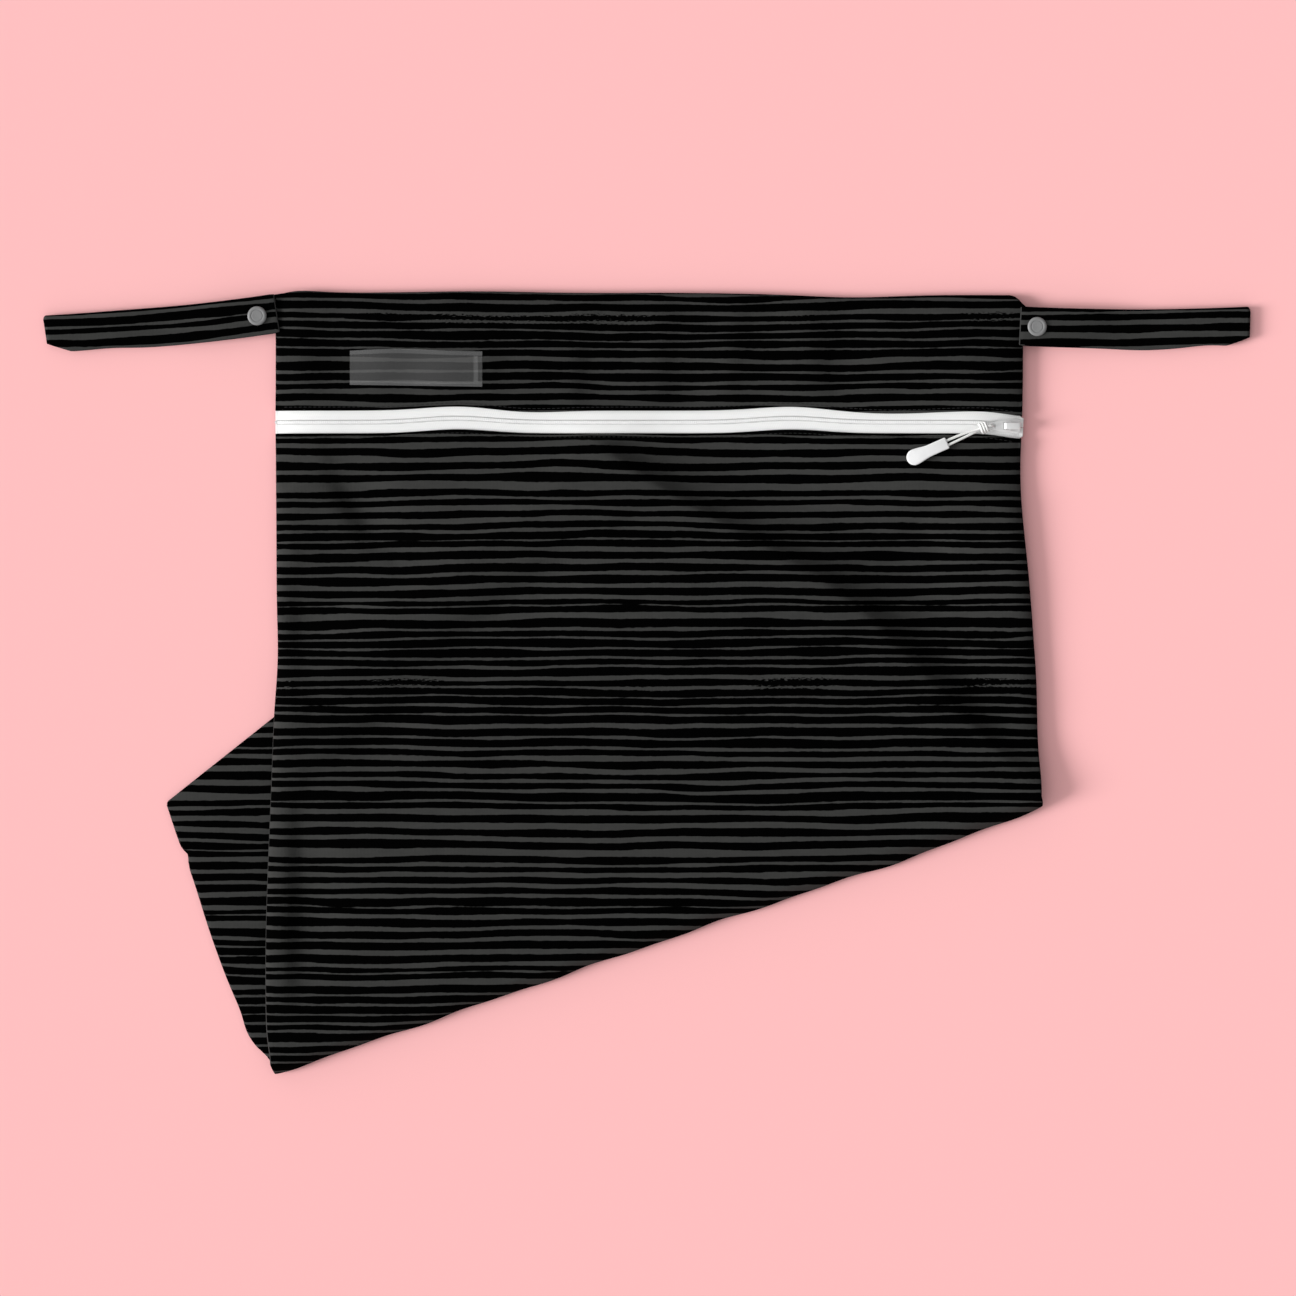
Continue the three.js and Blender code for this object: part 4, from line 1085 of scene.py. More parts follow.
# %% Woven tape
TAPE_ROWS = 13
COIL_ROWS = 9
COIL_GAP = 0.06  # between the finished coil and each tape
TAPE_PAST_SEAM = 0.0024  # share of the width by which a tape's end stands out of the right seam
TAPE_SEEN = 5.6  # this far from the middle line the whole end shows
TAPES_CLOSE = (0.9915, 0.9955)  # shares of the width between which the tapes close past the slider
TAPES_MEET = 0.12
TAPE_WARP = 0.9
TAPE_WEFT = 1.3
TAPE_WEFT_SLANT = 0.35
TAPE_SHADE = 0.6


def woven_tape():
    finish, tree, shader = new_finish("woven_tape", colour=(0.88, 0.88, 0.87), roughness=0.8, specular=0.2)
    place = cloth_map(tree)
    warp = slanting_wave(tree, place, TAPE_WARP, turn=math.pi / 2)
    weft = slanting_wave(tree, place, TAPE_WEFT, TAPE_WEFT_SLANT)
    weave = sum_node(tree, "MAXIMUM", warp, weft)
    uneven = stretched_noise(tree, place, across=14, along=3, detail=3.0)
    shade = sum_node(tree, "MULTIPLY", sum_node(tree, "ADD", weave, uneven), TAPE_SHADE)
    tint(tree, shader, shade, low=(0.80, 0.80, 0.80), high=(0.92, 0.92, 0.91))
    add_bump(tree, shader, weave, depth=0.12)
    return finish


def zip_wall(name, rows, finish):
    """A thin wall along the zip: each row has distances from its middle line, a rise, and places across."""
    grid = []
    for offset, rise, places in rows:
        row = main_levels(places, zip_edge(offset, places))[FRONT_IN].copy()
        row[:, 2] += rise - CLEARANCE
        grid.append(row)
    upper = np.stack(grid)
    lower = upper.copy()
    lower[..., 2] -= np.array([rise for _, rise, _ in rows])[:, None] + TAPE
    return cloth_wall(name, upper, lower, upper[..., :2], [finish])


def tape_rows(side):
    """Rows of a tape from above to below. Past the slider its inner edge closes on the middle line, and only
    the part that shows stands out of the right seam."""
    inner = lerp(COIL_WIDTH / 2 + COIL_GAP, TAPES_MEET, smoothstep(columns, *TAPES_CLOSE))
    rows = []
    for share in np.linspace(0, 1, TAPE_ROWS):
        offset = lerp(tape_edge, inner, share)
        shown = 1 - smoothstep(offset[-1], TAPE_SEEN, ZIP_SHOWN / 2)
        past_seam = lerp(-TAPE_PAST_SEAM, TAPE_PAST_SEAM, shown)
        rows.append((side * offset, 0.0, columns * (1 + past_seam)))
    return rows if side > 0 else rows[::-1]


tape_finish = woven_tape()
tape_upper = zip_wall("tape_upper_weave", tape_rows(1), tape_finish)
tape_lower = zip_wall("tape_lower_weave", tape_rows(-1), tape_finish)
keep(tape_upper, "zip_tape", "zipper_tape_upper")
keep(tape_lower, "zip_tape", "zipper_tape_lower")

# %% The coil's strip, up to the slider
SLIDER_X = 223.6
SLIDER_LENGTH = 11.4
COIL_LAST = 0.003  # share of the width before the coil's end that has no column of its own

slider_start = SLIDER_X - SLIDER_LENGTH / 2 - CLEARANCE
zip_start, zip_end = zip_x(np.array((0.0, 1.0)))
coil_end = (slider_start - zip_start) / (zip_end - zip_start)
coil_places = np.concatenate([columns[columns < coil_end - COIL_LAST], [coil_end]])
coil_offsets = np.linspace(COIL_WIDTH / 2, -COIL_WIDTH / 2, COIL_ROWS)
coil_rises = COIL_RISE * np.sqrt(1 - (2 * coil_offsets / COIL_WIDTH) ** 2)
coil_rows = [(offset, rise, coil_places) for offset, rise in zip(coil_offsets, coil_rises)]
coil_strip = zip_wall("coil_strip", coil_rows, tape_finish)
keep(coil_strip, "zip_coil", "zipper_coil")

# %% [markdown]
# ## Bars along a path
# The coil's turns and the stitches are the same thing at different sizes: a short rounded bar, repeated
# along a path. Geometry Nodes does that with named inputs. The path's edges become a curve, points are
# set along it, each point gets a bar turned to the path, and the copies are made real before the mesh is
# kept.

# %% The node tree
BAR_INPUTS = [
    ("Spacing", "NodeSocketFloat"),
    ("Bar across", "NodeSocketFloat"),
    ("Bar along", "NodeSocketFloat"),
    ("Bar height", "NodeSocketFloat"),
    ("Finish", "NodeSocketMaterial"),
]
BALL_STEPS = 2


def bars_along_path():
    tree = bpy.data.node_groups.new("bars_along_path", "GeometryNodeTree")
    tree.interface.new_socket("Path", in_out="INPUT", socket_type="NodeSocketGeometry")
    for name, kind in BAR_INPUTS:
        tree.interface.new_socket(name, in_out="INPUT", socket_type=kind)
    tree.interface.new_socket("Bars", in_out="OUTPUT", socket_type="NodeSocketGeometry")
    given = add_node(tree, "NodeGroupInput").outputs
    curve = add_node(tree, "GeometryNodeMeshToCurve", given["Path"])
    points = add_node(tree, "GeometryNodeCurveToPoints", mode="LENGTH")
    tree.links.new(curve.outputs[0], points.inputs["Curve"])
    tree.links.new(given["Spacing"], points.inputs["Length"])
    turned = add_node(tree, "FunctionNodeAlignRotationToVector", axis="X")
    tree.links.new(points.outputs["Tangent"], turned.inputs["Vector"])
    ball = add_node(tree, "GeometryNodeMeshIcoSphere")
    ball.inputs["Radius"].default_value = 0.5  # 1 across, so that the scale is the bar's size
    ball.inputs["Subdivisions"].default_value = BALL_STEPS
    lengths = (given["Bar along"], given["Bar across"], given["Bar height"])
    size = add_node(tree, "ShaderNodeCombineXYZ", *lengths)
    bar = add_node(tree, "GeometryNodeTransform", ball.outputs["Mesh"])
    tree.links.new(size.outputs[0], bar.inputs["Scale"])
    copies = add_node(tree, "GeometryNodeInstanceOnPoints")
    tree.links.new(points.outputs["Points"], copies.inputs["Points"])
    tree.links.new(bar.outputs[0], copies.inputs["Instance"])
    tree.links.new(turned.outputs[0], copies.inputs["Rotation"])
    real = add_node(tree, "GeometryNodeRealizeInstances", copies.outputs[0])
    smooth = add_node(tree, "GeometryNodeSetShadeSmooth", real.outputs[0])
    finished = add_node(tree, "GeometryNodeSetMaterial", smooth.outputs[0])
    tree.links.new(given["Finish"], finished.inputs["Material"])
    made = add_node(tree, "NodeGroupOutput")
    tree.links.new(finished.outputs[0], made.inputs[0])
    return tree


bar_tree = bars_along_path()
bar_sockets = {item.name: item.identifier for item in bar_tree.interface.items_tree if item.in_out == "INPUT"}


def bars(name, paths, finish, spacing, across, along, height):
    """A plain mesh of bars along one or more paths of points, sizes in millimetres."""
    points = np.vstack(paths)
    edges = []
    first = 0
    for path in paths:
        edges += [(first + step, first + step + 1) for step in range(len(path) - 1)]
        first += len(path)
    path_mesh = bpy.data.meshes.new(name + "_path")
    path_mesh.from_pydata((points * MM).tolist(), edges, [])
    holder = add_object(name + "_path", path_mesh)
    modifier = holder.modifiers.new("bars", "NODES")
    modifier.node_group = bar_tree
    sizes = {"Spacing": spacing, "Bar across": across, "Bar along": along, "Bar height": height}
    for socket, value in sizes.items():
        modifier[bar_sockets[socket]] = value * MM
    modifier[bar_sockets["Finish"]] = finish
    evaluated = holder.evaluated_get(bpy.context.evaluated_depsgraph_get())
    mesh = bpy.data.meshes.new_from_object(evaluated)
    mesh.name = name
    bpy.data.objects.remove(holder)
    return add_object(name, mesh)


# %% The coil's turns
TURN = {"spacing": 1.15, "across": 1.9, "along": 0.8, "height": 0.5}
TURN_SUNK = 0.1


def over_cloth(places, heights, rise, level):
    """Points at shares across the bag and heights up it, this far over a face of the cloth."""
    path = main_levels(places, heights)[level].copy()
    path[:, 2] += rise
    return path


coil_path = over_cloth(coil_places, zip_edge(0.0, coil_places), COIL_RISE - CLEARANCE - TURN_SUNK, FRONT_IN)
coil_turns = bars("coil_turns", [coil_path], tape_finish, **TURN)
keep(coil_turns, "zip_coil")

# %% [markdown]
# ## Stitches
# A zip is sewn in with a row of topstitching beside each panel's edge. On the bag the thread is black on
# black, so the rows show only as a fine line of dots when the light grazes them.

# %% Topstitching beside the zip
STITCH = {"spacing": 3.0, "across": 0.45, "along": 2.3, "height": 0.4}
STITCH_INSET = 2.2
STITCH_LIFT = 0.05
STITCH_MARGIN = 0.012  # the rows start this share of the width from the seams

thread_black, _, _ = new_finish("thread_black", colour=(0.006, 0.006, 0.006), roughness=0.6, specular=0.3)
sewn_places = columns[(columns > STITCH_MARGIN) & (columns < 1 - STITCH_MARGIN)]
upper_row = yoke_edge(STITCH_INSET, sewn_places)
lower_row = zip_edge(-ZIP_SHOWN / 2 - STITCH_INSET, sewn_places)
stitch_rows = [over_cloth(sewn_places, row, STITCH_LIFT, FRONT_OUT) for row in (upper_row, lower_row)]
zip_stitches = bars("zip_stitches", stitch_rows, thread_black, **STITCH)
keep(zip_stitches, "striped_cloth")

# %% [markdown]
# ## Slider, pull tab and tag
# These are small flat castings and mouldings with rounded edges. A flat curve with a bevel makes such a
# plate from its outline, holes included, and is then turned into a mesh and set in place. The slider is
# tilted with the tape, which rises from the side seam.

# %% Bevelled plates
SLIDER_PLATE = 1.2
SLIDER_WIDTH = 8.8
SLIDER_TAPER = 1.1  # the tail is narrower than the nose by this on each side
SLIDER_NOSE_CORNER = 1.8
SLIDER_TAIL_CORNER = 1.2
SLIDER_UNDER = {"length": 7.6, "width": 7.8, "thick": 0.9, "x": -1.0, "room": 0.7, "corner": 1.2}
SLIDER_POST = {"length": 3.0, "width": 2.0, "x": 1.0, "corner": 0.6, "sunk": 0.3, "bevel": 0.1}
BRIDGE = {"length": 10.4, "width": 4.0, "bar": 1.4, "room": 1.7, "corner": 1.3, "room_corner": 0.6}
TAB = {
    "x": -0.6, "length": 14.0, "near": 6.8, "far": 4.6, "thick": 1.0, "corner": 0.9, "bevel": 0.22,
    "bar": 1.2, "slot": 4.5, "slot_length": 4.0, "hole_corner": 0.5,
}
TAB_EYE = {"length": 2.9, "width": 2.5}
PLATE_BEVEL = 0.3
BEVEL_STEPS = 3
SHARP_EDGE = math.radians(40)  # plates shade smoothly over less steep edges


def arc(centre_x, centre_y, radius, start, end, steps):
    turns = np.radians(np.linspace(start, end, steps + 1))
    return [(centre_x + radius * math.cos(turn), centre_y + radius * math.sin(turn)) for turn in turns]


def rounded_box(length, width, radius, x=0.0):
    """Outline of a rectangle with round corners."""
    reach = length / 2 - radius
    rise = width / 2 - radius
    corners = [(x + reach, rise, 0), (x - reach, rise, 90), (x - reach, -rise, 180), (x + reach, -rise, 270)]
    return [point for cx, cy, start in corners for point in arc(cx, cy, radius, start, start + 90, steps=6)]


def plate(outlines, low, high, bevel, place):
    """Points and faces of a plate between two levels, with rounded edges, moved by a matrix."""
    curve = bpy.data.curves.new("plate_outline", "CURVE")
    curve.dimensions = "2D"
    curve.fill_mode = "BOTH"
    curve.extrude = (high - low) / 2 - bevel
    curve.bevel_depth = bevel
    curve.bevel_resolution = BEVEL_STEPS
    curve.offset = -bevel
    for outline in outlines:
        spline = curve.splines.new("POLY")
        spline.points.add(len(outline) - 1)
        for point, (x, y) in zip(spline.points, outline):
            point.co = (x, y, 0, 1)
        spline.use_cyclic_u = True
    holder = add_object("plate_outline", curve)
    mesh = bpy.data.meshes.new_from_object(holder.evaluated_get(bpy.context.evaluated_depsgraph_get()))
    middle = Matrix.Translation((0, 0, (low + high) / 2))
    points = [tuple(place @ middle @ vertex.co) for vertex in mesh.vertices]
    faces = [tuple(face.vertices) for face in mesh.polygons]
    bpy.data.objects.remove(holder)
    return points, faces


def joined(name, parts, finish):
    """One piece from several closed plates."""
    points = []
    faces = []
    for part_points, part_faces in parts:
        faces += [tuple(len(points) + corner for corner in face) for face in part_faces]
        points += part_points
    piece = outward(mesh_object(name, points, faces, [finish]))
    piece.data.set_sharp_from_angle(angle=SHARP_EDGE)
    return piece


# %% The slider and its tab


def tape_top(x):
    place = np.array([x])
    return main_levels_at(place, zip_y(place))[FRONT_IN][0, 2] - CLEARANCE


slider_rise = tape_top(SLIDER_X + SLIDER_LENGTH / 2) - tape_top(SLIDER_X - SLIDER_LENGTH / 2)
slider_tilt = Matrix.Rotation(-math.atan(slider_rise / SLIDER_LENGTH), 4, "Y")
slider_place = Matrix.Translation((SLIDER_X, zip_y(SLIDER_X), tape_top(SLIDER_X))) @ slider_tilt
plate_low = CLEARANCE
plate_top = plate_low + SLIDER_PLATE
under_top = -TAPE - SLIDER_UNDER["room"]
on_edge = slider_place @ Matrix.Translation((0, 0, plate_top)) @ Matrix.Rotation(math.pi / 2, 4, "X")


def slider_outline():
    """The upper plate seen from above: wide shoulders at the nose and a narrower tail."""
    reach = SLIDER_LENGTH / 2
    nose = SLIDER_WIDTH / 2
    tail = nose - SLIDER_TAPER
    wide = SLIDER_NOSE_CORNER
    narrow = SLIDER_TAIL_CORNER
    upper_half = arc(reach - wide, nose - wide, wide, 0, 90, steps=5)
    upper_half += arc(-reach + narrow, tail - narrow, narrow, 90, 180, steps=5)
    return upper_half + [(x, -y) for x, y in reversed(upper_half)]


def bridge_outline():
    """The bridge seen from the side: a low arch with two feet sunk in the plate."""
    reach = BRIDGE["length"] / 2
    roof = BRIDGE["room"] + BRIDGE["bar"]
    inner = reach - BRIDGE["bar"]
    foot = -2 * CLEARANCE
    corner = BRIDGE["corner"]
    outer = [(reach, foot)]
    outer += arc(reach - corner, roof - corner, corner, 0, 90, steps=6)
    outer += arc(-reach + corner, roof - corner, corner, 90, 180, steps=6)
    room_corner = BRIDGE["room_corner"]
    room_level = BRIDGE["room"] - room_corner
    room_side = arc(-inner + room_corner, room_level, room_corner, 180, 90, steps=4)
    room_side += arc(inner - room_corner, room_level, room_corner, 90, 0, steps=4)
    return outer + [(-reach, foot), (-inner, foot)] + room_side + [(inner, foot)]


def tab_outlines():
    """The tab seen from above, with the slot for the bridge and the eye for the cord."""
    near = TAB["near"] / 2
    far = TAB["far"] / 2
    far_middle = -TAB["length"] + far
    corner = TAB["corner"]
    upper_half = arc(-corner, near - corner, corner, 0, 90, steps=4)
    upper_half.append((-TAB["length"] / 2, near))
    upper_half += arc(far_middle, 0, far, 90, 180, steps=8)
    body = upper_half + [(x, -y) for x, y in reversed(upper_half[:-1])]
    slot_x = -TAB["bar"] - TAB["slot_length"] / 2
    slot = rounded_box(TAB["slot_length"], TAB["slot"], TAB["hole_corner"], slot_x)
    eye_x = -TAB["length"] + TAB["bar"] + TAB_EYE["length"] / 2
    eye = rounded_box(TAB_EYE["length"], TAB_EYE["width"], TAB["hole_corner"], eye_x)
    return [body, slot, eye]


under = SLIDER_UNDER
post = SLIDER_POST
under_outline = rounded_box(under["length"], under["width"], under["corner"], under["x"])
post_outline = rounded_box(post["length"], post["width"], post["corner"], post["x"])
slider = joined("slider_casting", [
    plate([slider_outline()], plate_low, plate_top, PLATE_BEVEL, slider_place),
    plate([under_outline], under_top - under["thick"], under_top, PLATE_BEVEL, slider_place),
    plate([post_outline], under_top - post["sunk"], plate_low + post["sunk"], post["bevel"], slider_place),
    plate([bridge_outline()], -BRIDGE["width"] / 2, BRIDGE["width"] / 2, PLATE_BEVEL, on_edge),
], white_enamel)
tab_low = plate_top + CLEARANCE
tab_place = slider_place @ Matrix.Translation((TAB["x"], 0, 0))
tab_plate = plate(tab_outlines(), tab_low, tab_low + TAB["thick"], TAB["bevel"], tab_place)
tab = joined("tab_casting", [tab_plate], white_enamel)
keep(slider, "white_enamel", "zipper_slider")
keep(tab, "white_enamel", "pull_tab")

# %% The moulded tag on the cord
TAG_END = (184.2, 147.3)
TAG_TURN = math.radians(203.8)
TAG = {
    "length": 27.0, "neck": 7.3, "round": 9.8, "neck_length": 11.5, "thick": 3.0, "corner": 0.9,
    "bevel": 0.8,
}
TAG_FLARE_POINTS = 9


def tag_outline():
    """A paddle: a squared neck that flares smoothly to a round end."""
    neck = TAG["neck"] / 2
    round_end = TAG["round"] / 2
    middle = TAG["length"] - round_end
    shares = np.linspace(0, 1, TAG_FLARE_POINTS)
    flare_x = lerp(TAG["neck_length"], middle, shares)
    flare_y = lerp(neck, round_end, smoothstep(shares, 0, 1))
    corner = TAG["corner"]
    upper = arc(corner, neck - corner, corner, 90, 180, steps=4)
    lower = [(x, -y) for x, y in reversed(upper)]
    flare_lower = [(x, -y) for x, y in zip(flare_x, flare_y)]
    cap = arc(middle, 0, round_end, -90, 90, steps=20)[1:-1]
    flare_upper = list(zip(flare_x[::-1], flare_y[::-1]))
    return lower + flare_lower + cap + flare_upper + upper


tag_floor = main_levels_at(np.array([TAG_END[0]]), np.array([TAG_END[1]]))[FRONT_OUT][0, 2]
tag_place = Matrix.Translation((*TAG_END, tag_floor + CLEARANCE)) @ Matrix.Rotation(TAG_TURN, 4, "Z")
tag_plate = plate([tag_outline()], 0, TAG["thick"], TAG["bevel"], tag_place)
tag = joined("tag_moulding", [tag_plate], white_moulding)
keep(tag, "white_moulding", "pull_tag")

# %% [markdown]
# ## Strap loops and snaps
# Each strap is one band of the striped cloth. It comes out of the side seam, turns back on itself at the
# far end, where its lower corner is slanted, and lies over its own start, where a snap holds it. The band
# is a closed wall along that route. Snap caps are round, so they are lathed from a profile.

# %% Strap bands
STRAP_ROOM = 2.4
STRAP_TONGUE = 6.0
STRAP_INSET = 0.3
STRAP_LEVEL = 19.0
STRAP_DOWN = 80.0
CORNER_ALONG = 14.0
CORNER_RANK = 0.58
TIP_ALONG = 1.4
TIP_RANK = 0.8
STRAP_EVEN_END = 105.0
STRAP_WAVE = 0.5
STRAP_WAVE_LENGTH = 13.0
STRAP_WAVE_GROWS = (25.0, 45.0)
STRAP_WAVE_FADES = (95.0, 115.0)
STRAP_IN_SEAM = (-STRAP_TONGUE, -3.0, -0.02)  # rows of the tongue, along the strap
STRAP_FIRST = 1.5
STRAP_STEPS = 44
STRAP_END_STEPS = 9
STRAP_TURN_STEPS = 15
STRAP_LINE_POINTS = 401
STRAP_PRINT = (620.0, -76.1)
STRAP_RANKS = np.linspace(-1, 1, 15)
STRAPS = [
    {"name": "left", "side": -1, "root": (-228.9, 227.1), "bend": (-290.0, 217.5), "tip": (-372.5, 215.4),
     "overlap": 1.0, "snap_at": 11.3, "print_falls": (0.123, -0.00037), "lean": 2.9,
     "low_bows": [(103, -1.0, 16)], "high_bows": [(150, -1.5, 40)]},
    {"name": "right", "side": 1, "root": (231.0, 219.2), "bend": (300.0, 216.0), "tip": (372.2, 219.5),
     "overlap": 2.0, "snap_at": 8.6, "print_falls": (-0.0106, 0.0), "lean": 1.8,
     "low_bows": [(74, 1.0, 20), (114, -1.3, 14)], "high_bows": []},
]
loop_radius = CLOTH + STRAP_ROOM / 2


class StrapLine:
    """The middle line of a strap on the plan, measured along its length."""

    def __init__(self, strap):
        root, bend, tip = (np.array(strap[key]) for key in ("root", "bend", "tip"))
        shares = np.linspace(0, 1, STRAP_LINE_POINTS)[:, None]
        self.points = (1 - shares) ** 2 * root + 2 * shares * (1 - shares) * bend + shares**2 * tip
        steps = np.linalg.norm(np.diff(self.points, axis=0), axis=1)
        self.measured = np.concatenate([[0], np.cumsum(steps)])
        self.length = self.measured[-1]
        self.side = strap["side"]
        self.low_bows = strap["low_bows"]
        self.high_bows = strap["high_bows"]

    def at(self, along, rank):
        """Points this far along, out to a share of the half width."""
        reached = np.clip(along, 0, self.length)
        x = np.interp(reached, self.measured, self.points[:, 0])
        y = np.interp(reached, self.measured, self.points[:, 1])
        slopes = np.gradient(self.points, self.measured, axis=0)
        way_x = np.interp(reached, self.measured, slopes[:, 0])
        way_y = np.interp(reached, self.measured, slopes[:, 1])
        half_width = STRAP_WIDTH / 2 - np.where(along < 0, STRAP_INSET, 0)
        half_width = half_width + np.clip(self.side * rank, 0, 1) * bowed(self.low_bows, along)
        half_width = half_width + np.clip(-self.side * rank, 0, 1) * bowed(self.high_bows, along)
        past = along - reached
        out = rank * half_width
        return np.stack([x + way_x * past + way_y * out, y + way_y * past - way_x * out], axis=-1)


def strap_band(strap):
    """A strap's band from the seam round its far end and back, its snap's place and its root's level."""
    line = StrapLine(strap)
    seam = main_levels(np.array([0.0 if strap["side"] < 0 else 1.0]), np.array([strap["root"][1]]))
    root_z = seam[BACK_IN][0, 2] + CLEARANCE
    downwards = strap["side"] * STRAP_RANKS
    corner = np.clip((downwards - CORNER_RANK) / (1 - CORNER_RANK), 0, 1)
    tip = np.clip((-downwards - TIP_RANK) / (1 - TIP_RANK), 0, 1)
    lean = strap["lean"] * (1 + downwards) / 2
    end = line.length - loop_radius - CORNER_ALONG * corner - TIP_ALONG * tip - lean
    rows = []

    def flat_row(along, out_z, in_z, wave):
        place = line.at(along, STRAP_RANKS)
        low = root_z * (1 - smoothstep(along, STRAP_LEVEL, STRAP_DOWN))
        shown = smoothstep(along, *STRAP_WAVE_GROWS) * (1 - smoothstep(along, *STRAP_WAVE_FADES))
        ripple = wave * np.sin(along / STRAP_WAVE_LENGTH + STRAP_RANKS) * shown
        rows.append([np.column_stack([place, low + z + ripple]) for z in (out_z, in_z)])

    even_places = np.linspace(STRAP_FIRST, STRAP_EVEN_END, STRAP_STEPS)
    seam_alongs = [np.full_like(STRAP_RANKS, along) for along in STRAP_IN_SEAM]
    even_alongs = [np.full_like(STRAP_RANKS, along) for along in even_places]
    far_shares = np.linspace(0, 1, STRAP_END_STEPS)[1:-1]
    far_alongs = [lerp(STRAP_EVEN_END, end, share) for share in far_shares]
    for along in seam_alongs + even_alongs + far_alongs:
        flat_row(along, 0.0, CLOTH, 0.0)
    for turn in np.linspace(0, math.pi, STRAP_TURN_STEPS):
        pair = []
        for radius in (loop_radius, loop_radius - CLOTH):
            place = line.at(end + radius * math.sin(turn), STRAP_RANKS)
            level = loop_radius - radius * math.cos(turn)
            pair.append(np.column_stack([place, np.full_like(STRAP_RANKS, level)]))
        rows.append(pair)
    last_along = np.full_like(STRAP_RANKS, -strap["overlap"])
    for along in far_alongs[::-1] + even_alongs[::-1] + [last_along]:
        flat_row(along, 2 * loop_radius, 2 * loop_radius - CLOTH, STRAP_WAVE)
    outer = np.stack([row[0] for row in rows])
    inner = np.stack([row[1] for row in rows])
    uv = outer[..., :2] + np.array(STRAP_PRINT)
    run = np.abs(outer[..., 0] - strap["root"][0])
    even_fall, bent_fall = strap["print_falls"]
    uv[..., 1] += even_fall * run + bent_fall * run**2
    # The rim of the strap's cut end gets the pale grey: a painted highlight.
    cut = np.zeros(outer.shape[:2], bool)
    cut[-1, :] = True
    band = cloth_wall("strap_" + strap["name"] + "_band", outer, inner, uv, [print_cloth, painted_edge_highlight], cut)
    snap = line.at(np.array([strap["snap_at"]]), np.array([0.0]))[0]
    return outward(band), snap, root_z


# %% Snap halves
SNAP_SIDES = 56
SNAP = {
    "cap": 5.9, "post": 1.5, "ring": 4.1, "knob": 1.9, "cap_thick": 1.3, "ring_thick": 0.5,
    "knob_rise": 0.5,
}
SOCKET = {"rise": 1.0, "roof": 0.3}
CAP_FACE = [  # radius, depth below the top: a shallow dish inside a fine groove, then the rim
    (0, 0.14), (2.2, 0.13), (2.9, 0.06), (3.3, 0.05), (3.45, 0.20), (3.65, 0.20), (3.8, 0.02), (4.4, 0),
    (5.0, 0.05), (5.5, 0.28), (5.8, 0.62), (SNAP["cap"], 0.95),
]
CAP_UNDERCUT = 0.1
SNAP_SHARP_EDGE = math.radians(50)

grey_snap = mottled(
    "grey_snap", (0.175, 0.175, 0.175), (0.225, 0.225, 0.225), roughness=0.5, patch=2.5, bump=0.05
)


def cap_profile(sign):
    """From the middle of the cap's face out and over its rim, facing up or down by the sign."""
    high = CLEARANCE + SNAP["cap_thick"]
    face = [(radius, high - depth) for radius, depth in CAP_FACE]
    face.append((SNAP["cap"] - CAP_UNDERCUT, CLEARANCE))
    return [(radius, sign * z) for radius, z in face]


def lathed(name, profile, centre, finish):
    """A closed round piece from radii and heights, from the axis to the axis."""
    turns = np.linspace(0, 2 * math.pi, SNAP_SIDES, endpoint=False)
    rings = np.array([[(r * math.cos(t), r * math.sin(t), z) for t in turns] for r, z in profile[1:-1]])
    points = np.vstack([rings.reshape(-1, 3), [(0, 0, profile[0][1]), (0, 0, profile[-1][1])]]) + centre
    faces = ring_quads(len(rings), SNAP_SIDES)
    first = len(points) - 2
    last_ring = (len(rings) - 1) * SNAP_SIDES
    for step in range(SNAP_SIDES):
        after = (step + 1) % SNAP_SIDES
        faces.append((first, after, step))
        faces.append((first + 1, last_ring + step, last_ring + after))
    piece = outward(mesh_object(name, points, faces, [finish]))
    piece.data.set_sharp_from_angle(angle=SNAP_SHARP_EDGE)
    return piece


def snap_halves(strap_name, snap, root_z):
    """A stud in the lower layer of the strap and a socket in the upper one."""
    ring_low = CLOTH + CLEARANCE
    ring_top = ring_low + SNAP["ring_thick"]
    knob_top = ring_top + SNAP["knob_rise"]
    stem = SNAP["post"]
    ring = SNAP["ring"]
    knob = SNAP["knob"]
    stud_profile = cap_profile(-1) + [
        (stem, -CLEARANCE), (stem, ring_low), (ring, ring_low), (ring, ring_top),
        (knob, ring_top), (knob, knob_top), (0, knob_top),
    ]
    roof = -CLOTH - CLEARANCE
    mouth = roof - SOCKET["rise"]
    hollow = knob + CLEARANCE
    socket_profile = cap_profile(1) + [
        (stem, CLEARANCE), (stem, roof), (ring, roof), (ring, mouth),
        (hollow, mouth), (hollow, roof - SOCKET["roof"]), (0, roof - SOCKET["roof"]),
    ]
    stud = lathed("stud_" + strap_name, stud_profile, (*snap, root_z), grey_snap)
    socket = lathed("socket_" + strap_name, socket_profile, (*snap, root_z + 2 * loop_radius), grey_snap)
    return stud, socket


# %% Both straps with their snaps
strap_bands = []
for strap in STRAPS:
    band, snap, root_z = strap_band(strap)
    stud, socket = snap_halves(strap["name"], snap, root_z)
    strap_bands.append(keep(band, "striped_cloth", "strap_" + strap["name"]))
    keep(stud, "grey_snap", "snap_stud_" + strap["name"])
    keep(socket, "grey_snap", "snap_socket_" + strap["name"])

# %% [markdown]
# ## The sheer label
# The label is a strip of sheer fabric, hemmed all round. Where it is hemmed there are two layers, so it is
# paler there. The same thing is built here: a thin sheet with a low alpha, and narrow strips of a second
# layer along its edges. It follows the cloth under it.

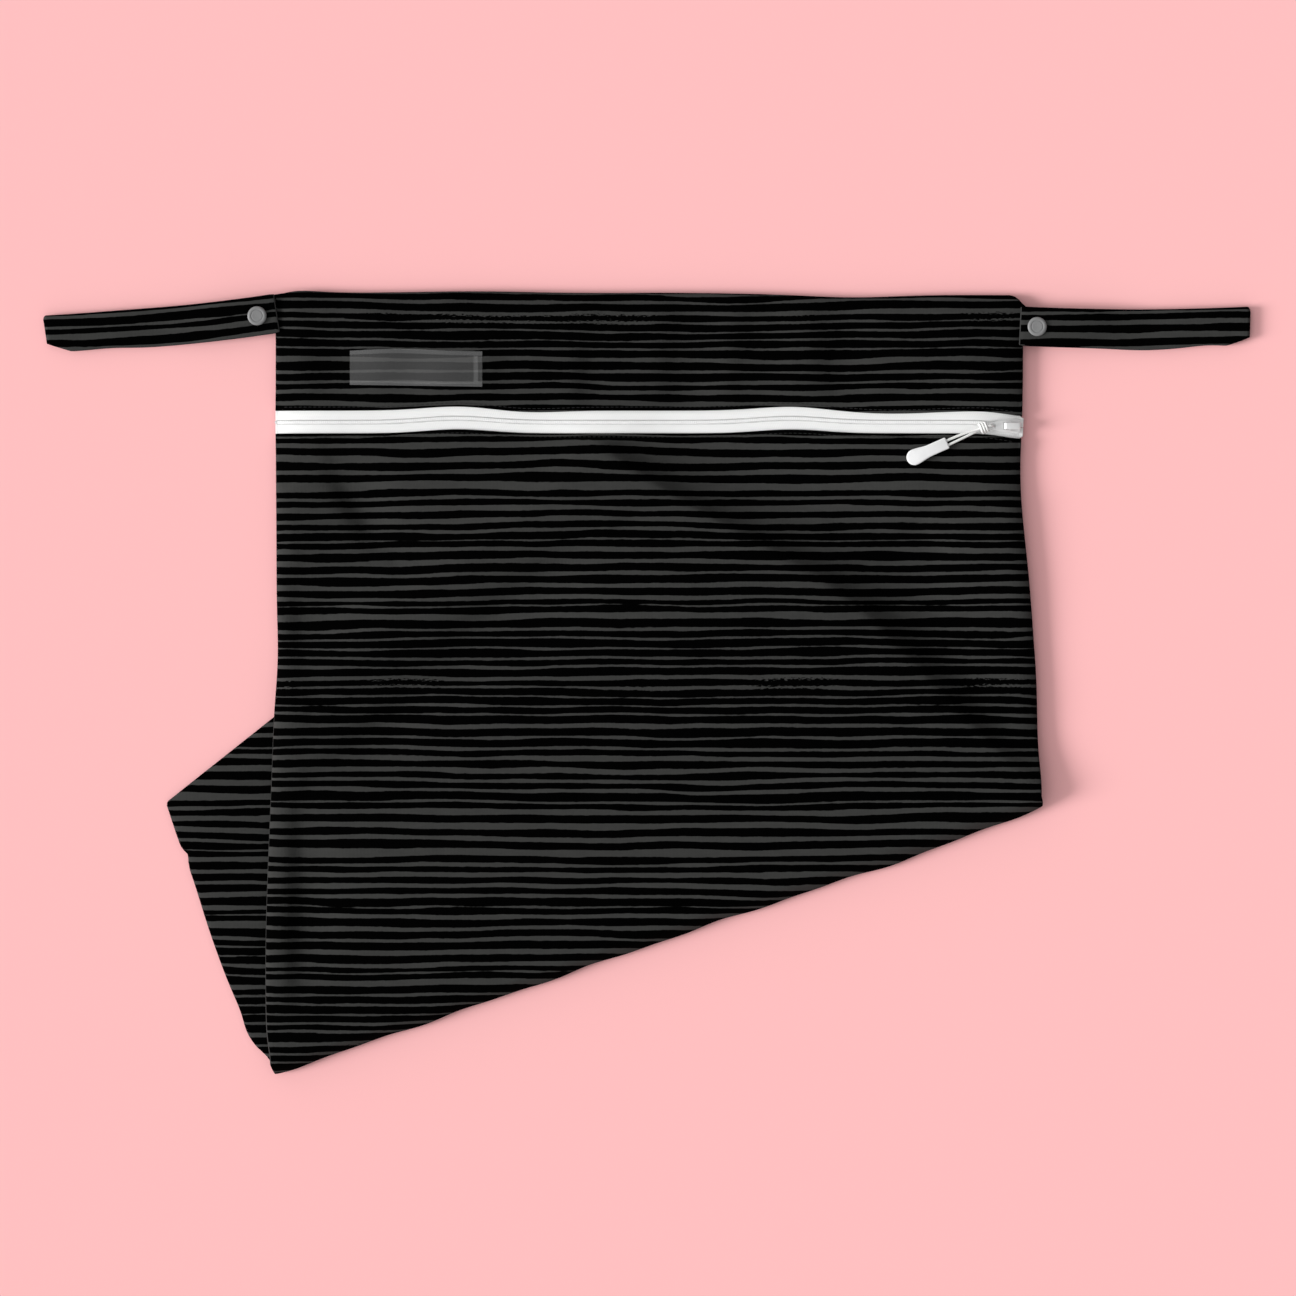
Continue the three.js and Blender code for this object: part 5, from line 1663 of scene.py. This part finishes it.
# %% Label and hems
LABEL = {"x": -142.3, "y": 192.6, "width": 81.4, "height": 21.7, "thick": 0.22, "lift": 0.18}
LABEL_BOW = (0.36, 1.6, 0.34)  # of the upper edge: place along it, rise and spread
LABEL_SLANT = 1.2  # the lower edge is this much higher at the left
HEM = 2.6
HEM_LIFT = 0.03
SHEER_ALPHA = 0.044
SHEER_THREAD = 0.8
LABEL_COLUMNS = 60
LABEL_ROWS = 18
HEM_ROWS = 4
SIDE_HEM_ROWS = 14
HEM_CLEAR = 1.05  # the side hem stops just short of the other two


def sheer_fabric():
    finish, tree, shader = new_finish("sheer_label", colour=(0.62, 0.62, 0.62), roughness=0.85, specular=0.1)
    place = cloth_map(tree)
    warp = slanting_wave(tree, place, SHEER_THREAD, turn=0.0)
    weft = slanting_wave(tree, place, SHEER_THREAD, turn=math.pi / 2)
    threads = sum_node(tree, "MAXIMUM", warp, weft)
    tint(tree, shader, threads, low=(0.45, 0.45, 0.45), high=(0.70, 0.70, 0.70))
    shader.inputs["Alpha"].default_value = SHEER_ALPHA
    return finish


def label_layer(left, right, low, high, lift, columns_made, rows_made):
    """Upper and lower faces of a layer that covers part of the label, by shares of its width and height."""
    across = np.linspace(left, right, columns_made)
    shares = np.linspace(high, low, rows_made)
    across, shares = np.meshgrid(across, shares)
    place, rise, spread = LABEL_BOW
    x = LABEL["x"] + LABEL["width"] * (across - 0.5)
    y = LABEL["y"] + LABEL["height"] * (shares - 0.5) + rise * bell(across - place, spread) * shares
    y = y + LABEL_SLANT * (1 - across) * (1 - shares)
    under = main_levels_at(x, y)[FRONT_OUT]
    upper = under + (0, 0, LABEL["lift"] + lift + LABEL["thick"])
    return upper, under + (0, 0, LABEL["lift"] + lift)


sheer = sheer_fabric()
hem_x = HEM / LABEL["width"]
hem_y = HEM / LABEL["height"]
hem_clear = hem_y * HEM_CLEAR
second = LABEL["thick"] + HEM_LIFT
label_parts = [
    label_layer(0, 1, 0, 1, 0.0, LABEL_COLUMNS, LABEL_ROWS),
    label_layer(0, 1, 1 - hem_y, 1, second, LABEL_COLUMNS, HEM_ROWS),
    label_layer(0, 1, 0, hem_y, second, LABEL_COLUMNS, HEM_ROWS),
    label_layer(1 - 2 * hem_x, 1 - hem_x, hem_clear, 1 - hem_clear, second, HEM_ROWS, SIDE_HEM_ROWS),
]
layers = [cloth_wall("label_layer", upper, lower, upper[..., :2], [sheer]) for upper, lower in label_parts]
with bpy.context.temp_override(active_object=layers[0], selected_editable_objects=layers):
    bpy.ops.object.join()
label = layers[0]
label.name = "label_sheer"
keep(label, "sheer_label", "label")

# %% [markdown]
# ## Which pieces are cloth
# The panels, straps, tapes and label are sheets that were cut flat. Half the surface of each is printed,
# which is near the size it was cut to before it was sewn and folded.

# %% Sheets


def half_surface(piece):
    return sum(face.area for face in piece.data.polygons) / 2


for piece in (front_upper, front_lower, back_cloth, tape_upper, tape_lower, *strap_bands, label):
    print("half surface", piece.name, round(half_surface(piece), 5), "square metres")

# %% [markdown]
# ## Size
# The finished pieces reach no more than 2 mm past the imported model's box.

# %% Finish
print("finished")
